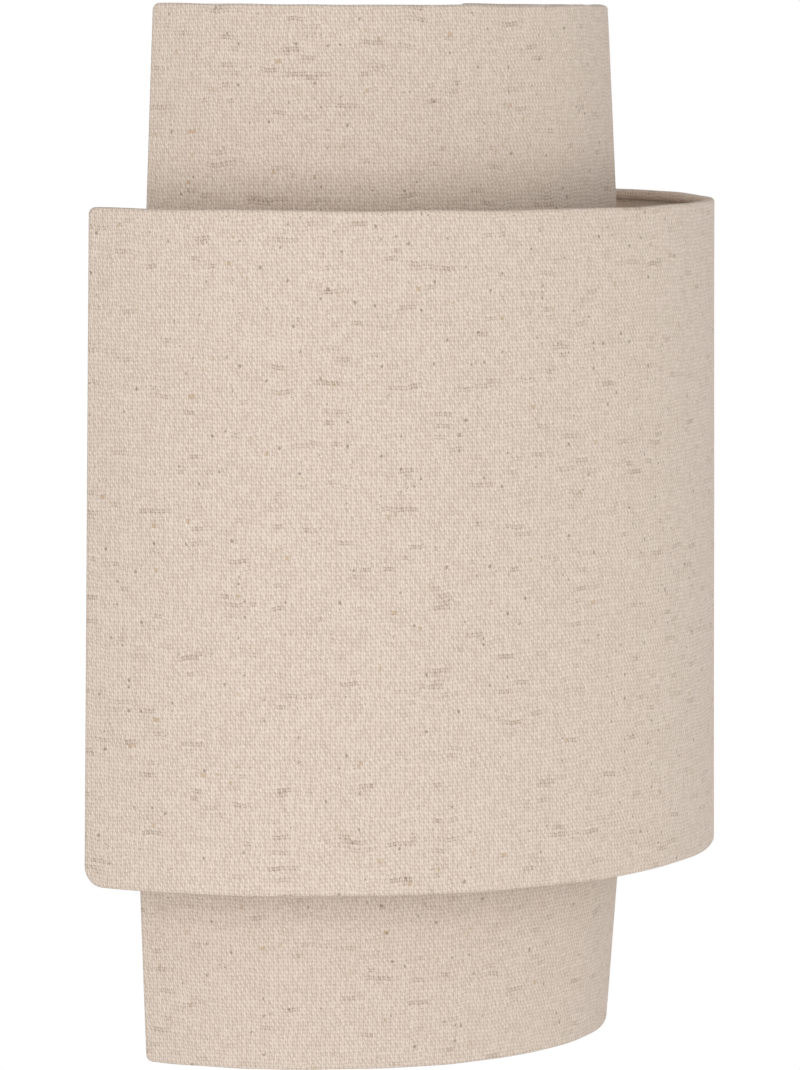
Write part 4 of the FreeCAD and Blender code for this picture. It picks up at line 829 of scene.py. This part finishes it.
# %% Finishes by slot
finishes = {
    "liner": laminate_material(),
    "frame_wire": finish_material(
        "white_wire_coat", (0.78, 0.77, 0.73), (0.73, 0.72, 0.68), (0.32, 0.5),
        grain=0.0009,
    ),
    "white_metal": finish_material(
        "white_plate_coat", (0.80, 0.79, 0.76), (0.76, 0.75, 0.72), (0.35, 0.52),
        grain=0.0011, cloud=0.04,
    ),
    "zinc_steel": finish_material(
        "bright_zinc", (0.62, 0.63, 0.64), (0.50, 0.51, 0.53), (0.22, 0.42),
        metallic=1.0, cloud=0.003,
    ),
    "fixing_steel": finish_material(
        "fixing_zinc", (0.60, 0.61, 0.62), (0.50, 0.51, 0.53), (0.22, 0.42),
        metallic=1.0, cloud=0.003,
    ),
    "holder_plastic": finish_material(
        "holder_white", (0.82, 0.81, 0.77), (0.78, 0.77, 0.73), (0.22, 0.34),
        grain=0.0006,
    ),
    "holder_ceramic": finish_material(
        "steatite", (0.78, 0.75, 0.70), (0.70, 0.67, 0.62), (0.6, 0.8),
        grain=0.0005, rub=0.0,
    ),
    "brass": finish_material(
        "bright_brass", (0.72, 0.55, 0.26), (0.62, 0.45, 0.20), (0.2, 0.38),
        metallic=1.0, cloud=0.004,
    ),
    "rubber": finish_material(
        "bush_rubber", (0.035, 0.035, 0.036), (0.050, 0.049, 0.048), (0.55, 0.75),
        grain=0.0005,
    ),
    "terminal_plastic": finish_material(
        "terminal_natural", (0.74, 0.73, 0.68), (0.70, 0.69, 0.64), (0.35, 0.5),
    ),
    "brown_sleeve": finish_material(
        "brown_sleeve", (0.12, 0.05, 0.025), (0.15, 0.065, 0.03), (0.3, 0.45),
    ),
    "blue_sleeve": finish_material(
        "blue_sleeve", (0.02, 0.10, 0.42), (0.03, 0.13, 0.48), (0.3, 0.45),
    ),
    "earth_sleeve": striped_sleeve(),
    "lamp_cap": finish_material(
        "lamp_cap_metal", (0.70, 0.70, 0.71), (0.60, 0.60, 0.62), (0.2, 0.36),
        metallic=1.0, cloud=0.004,
    ),
    "lamp_insulator": finish_material(
        "lamp_foot_black", (0.02, 0.02, 0.022), (0.035, 0.033, 0.035), (0.12, 0.25),
    ),
    "lamp_body": finish_material(
        "lamp_body_white", (0.80, 0.80, 0.79), (0.77, 0.77, 0.76), (0.3, 0.42),
        grain=0.0007,
    ),
    "lamp_diffuser": finish_material(
        "lamp_opal", (0.86, 0.85, 0.82), (0.83, 0.82, 0.79), (0.34, 0.46),
        grain=0.0009, rub=0.0,
    ),
    "board": finish_material(
        "board_white", (0.80, 0.80, 0.76), (0.75, 0.75, 0.70), (0.3, 0.45),
        cloud=0.005,
    ),
}
for entry in frame["record"]["subparts"]:
    node = frame["nodes"][entry["node"]]
    material = finishes.get(entry["material_slot"], natural_linen)
    node.data.materials.clear()
    node.data.materials.append(material)
print("finishes given to", len(frame["nodes"]), "nodes")

# %% [markdown]
# ## The lamp and the shell that it screws into
#
# An E27 thread is rolled into thin sheet metal, so both faces of the sheet follow one smooth wave, which
# climbs 3.62 mm in a turn. The model holds plain sleeves of the right size. Here each is replaced by a turned
# surface: a closed loop of radius and height is swept round the lamp's axis, and each point is moved in or
# out by the wave at its own angle and height. The lamp's flared body and its opal dome are turned in the same
# way, from smooth curves.

# %% Turn a loop round the lamp's axis
TURN_SIDES = 96
THREAD_PITCH = 0.00362
THREAD_DEPTH = 0.0009
THREAD_FADE = 0.0012
WALL_STEP = 0.0003  # height of a face on a threaded wall
SHARP_EDGE = math.radians(40)

cap_low, cap_high = node_box("bulb_cap")
AXIS_DEPTH = (cap_low.y + cap_high.y) / 2


def thread_wave(height, angle, zone):
    """How deep the thread is at a height and angle: 0 on its crest and outside its zone, 1 in its root."""
    wave = 0.5 - 0.5 * math.cos(2 * math.pi * height / THREAD_PITCH - angle)
    fade = min((height - zone[0]) / THREAD_FADE, (zone[1] - height) / THREAD_FADE, 1.0)
    return wave * max(fade, 0.0)


def turned(name, loop, node, body, depth=0.0, zone=(0.0, 0.0)):
    """Surface turned from a loop of (radius, height) points, whose thread moves them by its depth."""
    places, faces = [], []
    for side in range(TURN_SIDES):
        angle = 2 * math.pi * side / TURN_SIDES
        for radius, height in loop:
            reach = radius + (depth * thread_wave(height, angle, zone) if depth else 0.0)
            places.append((reach * math.cos(angle), AXIS_DEPTH + reach * math.sin(angle), height))
    count = len(loop)
    for side in range(TURN_SIDES):
        here, after = side * count, (side + 1) % TURN_SIDES * count
        for step in range(count):
            following = (step + 1) % count
            faces.append((here + step, after + step, after + following, here + following))
    mesh = bpy.data.meshes.new(name)
    mesh.from_pydata(places, [], faces)
    merge_doubles(mesh)
    mesh.shade_smooth()
    mesh.set_sharp_from_angle(angle=SHARP_EDGE)
    piece = bpy.data.objects.new(name, mesh)
    bpy.context.scene.collection.objects.link(piece)
    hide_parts(node)
    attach(piece, body)
    mesh.materials.append(finishes[slots[node]])
    print(name, "stands for", node, "and has", len(mesh.polygons), "faces")
    return piece


def wall(radius, low, high):
    """Points up a plain wall, close enough together to hold a thread."""
    steps = round((high - low) / WALL_STEP)
    return [(radius, low + (high - low) * step / steps) for step in range(steps + 1)]


# %% The lamp's cap and the holder's shell
SHEET = 0.0005
CAP_PLAIN_FOOT = 0.0043
CAP_PLAIN_TOP = 0.0050
CAP_EDGE_ROLL = 0.0005
SHELL_PLAIN_END = 0.0024
SHELL_INSIDE = 0.0134

slots = {entry["node"]: entry["material_slot"] for entry in frame["record"]["subparts"]}
cap_radius = (cap_high.x - cap_low.x) / 2
cap_outside = [(cap_radius - CAP_EDGE_ROLL, cap_low.z)]
cap_outside += wall(cap_radius, cap_low.z + CAP_EDGE_ROLL, cap_high.z)
cap_inside = wall(cap_radius - SHEET, cap_low.z + CAP_EDGE_ROLL, cap_high.z)[::-1]
cap_inside.append((cap_radius - CAP_EDGE_ROLL - SHEET, cap_low.z))
cap_zone = (cap_low.z + CAP_PLAIN_FOOT, cap_high.z - CAP_PLAIN_TOP)
turned("lamp_cap_thread", cap_outside + cap_inside, "bulb_cap", "lamp", -THREAD_DEPTH, cap_zone)

shell_low, shell_high = node_box("screw_shell")
shell_flange = (shell_high.x - shell_low.x) / 2
shell_outside = wall(SHELL_INSIDE + SHEET, shell_low.z + SHEET, shell_high.z - SHEET)
shell_inside = wall(SHELL_INSIDE, shell_low.z, shell_high.z)[::-1]
shell_loop = [(shell_flange, shell_low.z), (shell_flange, shell_low.z + SHEET)] + shell_outside
shell_loop += [(shell_flange, shell_high.z - SHEET), (shell_flange, shell_high.z)] + shell_inside
shell_zone = (shell_low.z + SHELL_PLAIN_END, shell_high.z - SHELL_PLAIN_END)
turned("holder_shell_thread", shell_loop, "screw_shell", "fitting", THREAD_DEPTH, shell_zone)

# %% The lamp's body and dome
NECK_RADIUS = 0.014
BODY_FLARE = 1.3  # power by which the body widens
BODY_STEPS = 28
DOME_STEPS = 28
LAMP_SHEET = 0.0012
SEAM_ROUND = 0.0008

body_low, body_high = node_box("bulb_body")
lamp_radius = (body_high.x - body_low.x) / 2


def body_wall(inset):
    """Points up the flared body's wall, some way inside its outer face."""
    points = []
    for step in range(BODY_STEPS + 1):
        share = step / BODY_STEPS
        radius = NECK_RADIUS + (lamp_radius - NECK_RADIUS) * share ** BODY_FLARE
        points.append((radius - inset, body_low.z + (body_high.z - body_low.z) * share))
    return points


def dome_wall(low, high, inset):
    """Points up the dome's wall, some way inside its outer face."""
    points = []
    for step in range(DOME_STEPS + 1):
        turn = math.pi / 2 * step / DOME_STEPS
        points.append(((lamp_radius - inset) * math.cos(turn), low + (high - inset - low) * math.sin(turn)))
    return points


body_outside = body_wall(0.0)
body_outside[-1:] = [(lamp_radius, body_high.z - SEAM_ROUND), (lamp_radius - SEAM_ROUND / 2, body_high.z)]
turned("flared_lamp_body", body_outside + body_wall(LAMP_SHEET)[::-1], "bulb_body", "lamp")
dome_low, dome_high = node_box("bulb_diffuser")
dome_outside = [(lamp_radius - SEAM_ROUND / 2, dome_low.z)]
dome_outside += dome_wall(dome_low.z + SEAM_ROUND, dome_high.z, 0.0)
dome_inside = dome_wall(dome_low.z, dome_high.z, LAMP_SHEET)[::-1]
turned("opal_dome", dome_outside + dome_inside, "bulb_diffuser", "lamp")

# %% [markdown]
# ## Floor, background and light
#
# The background is plain white. The world is white to the camera, and gives the object only a moderate even
# light. A round floor lies well below the light, where it catches the light's shadow. Towards its edge it
# fades into the same white, so that no edge shows.

# %% The floor
FLOOR_DROP = 0.30
FLOOR_RADIUS = 1.05
FLOOR_RINGS = 24
FLOOR_SIDES = 96
FLOOR_MIDDLE = -0.08  # in front of the wall
FLOOR_ROUGHNESS, SPECKLE_SCALE = 0.9, 40.0
FLOOR_PALE, FLOOR_DULL = (0.93, 0.93, 0.93), (0.90, 0.90, 0.90)
FADE_FROM, FADE_TO = 0.35, 0.97  # shares of the radius over which the floor fades


def seen_directly(tree):
    """One where a ray comes from the camera, or by way of metal or glass, and zero elsewhere."""
    path = add(tree, "ShaderNodeLightPath")
    seen = maths(tree, "MAXIMUM", path.outputs["Is Camera Ray"], path.outputs["Is Glossy Ray"])
    return maths(tree, "MAXIMUM", seen, path.outputs["Is Transmission Ray"])


def floor_disc():
    """Round floor built from rings."""
    places, faces = [Vector((0, 0, 0))], []
    for ring in range(1, FLOOR_RINGS + 1):
        for side in range(FLOOR_SIDES):
            angle = 2 * math.pi * side / FLOOR_SIDES
            places.append(Vector((math.cos(angle), math.sin(angle), 0)) * (FLOOR_RADIUS * ring / FLOOR_RINGS))
    for side in range(FLOOR_SIDES):
        after = (side + 1) % FLOOR_SIDES
        faces.append((0, 1 + side, 1 + after))
        for ring in range(FLOOR_RINGS - 1):
            start = 1 + ring * FLOOR_SIDES
            outer = start + FLOOR_SIDES
            faces.append((start + side, outer + side, outer + after, start + after))
    mesh = bpy.data.meshes.new("studio_floor")
    mesh.from_pydata(places, [], faces)
    return mesh


def floor_material():
    """Pale floor that fades to the background's white at its edge."""
    material = bpy.data.materials.new("pale_floor")
    material.use_nodes = True
    tree = material.node_tree
    shader = tree.nodes["Principled BSDF"]
    shader.inputs["Roughness"].default_value = FLOOR_ROUGHNESS
    place = add(tree, "ShaderNodeTexCoord").outputs["Object"]
    speckle = noise_of(tree, place, SPECKLE_SCALE, 3.0)
    tree.links.new(blend_colours(tree, speckle, FLOOR_PALE, FLOOR_DULL), shader.inputs["Base Color"])
    distance = add(tree, "ShaderNodeVectorMath", operation="LENGTH")
    tree.links.new(place, distance.inputs[0])
    fade = stretch(tree, distance.outputs["Value"], FADE_FROM * FLOOR_RADIUS, FADE_TO * FLOOR_RADIUS)
    white = add(tree, "ShaderNodeEmission", {"Color": (1, 1, 1, 1), "Strength": 1.0})
    mix = add(tree, "ShaderNodeMixShader")
    tree.links.new(maths(tree, "MULTIPLY", fade, seen_directly(tree)), mix.inputs[0])
    tree.links.new(shader.outputs[0], mix.inputs[1])
    tree.links.new(white.outputs[0], mix.inputs[2])
    tree.links.new(mix.outputs[0], tree.nodes["Material Output"].inputs["Surface"])
    return material


floor = bpy.data.objects.new("studio_floor", floor_disc())
floor.data.materials.append(floor_material())
floor.location = (0, FLOOR_MIDDLE, cad_box[0].z - FLOOR_DROP)
bpy.context.scene.collection.objects.link(floor)
print("floor at", round(floor.location.z, 3), "m")

# %% The world
WORLD_LIGHT = 0.44

world = bpy.data.worlds.new("studio_white")
bpy.context.scene.world = world
world.use_nodes = True
tree = world.node_tree
tree.nodes.clear()
strength = add(tree, "ShaderNodeMapRange", {"To Min": WORLD_LIGHT, "To Max": 1.0})
tree.links.new(seen_directly(tree), strength.inputs["Value"])
background = add(tree, "ShaderNodeBackground", {"Color": (1, 1, 1, 1)})
tree.links.new(strength.outputs["Result"], background.inputs["Strength"])
tree.links.new(background.outputs[0], add(tree, "ShaderNodeOutputWorld").inputs["Surface"])
print("the world gives the object light of", WORLD_LIGHT)

# %% [markdown]
# ## The lamps
#
# The photograph's light comes from the left, almost level, and it is soft: the middle tier darkens only a
# little towards its right side, and the upper and lower tiers are a shade darker next to the middle one. One
# wide lamp gives the direction, and a second weaker one fills from the right.

# %% The lamps
def soft_lamp(name, azimuth, elevation, distance, size, watts):
    """Square lamp that looks at the light's middle from a direction."""
    data = bpy.data.lights.new(name, "AREA")
    data.shape = "SQUARE"
    data.size = size
    data.energy = watts
    lamp = bpy.data.objects.new(name, data)
    a, e = math.radians(azimuth), math.radians(elevation)
    direction = Vector((math.sin(a) * math.cos(e), -math.cos(a) * math.cos(e), math.sin(e)))
    lamp.location = AIM + direction * distance
    lamp.rotation_mode = "QUATERNION"
    lamp.rotation_quaternion = (-direction).to_track_quat("-Z", "Y")
    lamp.visible_camera = False
    bpy.context.scene.collection.objects.link(lamp)
    return lamp


soft_lamp("key_lamp", azimuth=-62, elevation=2, distance=2.6, size=2.0, watts=36)
soft_lamp("fill_lamp", azimuth=48, elevation=-5, distance=2.8, size=1.8, watts=22)

bpy.context.scene.view_settings.view_transform = "Standard"
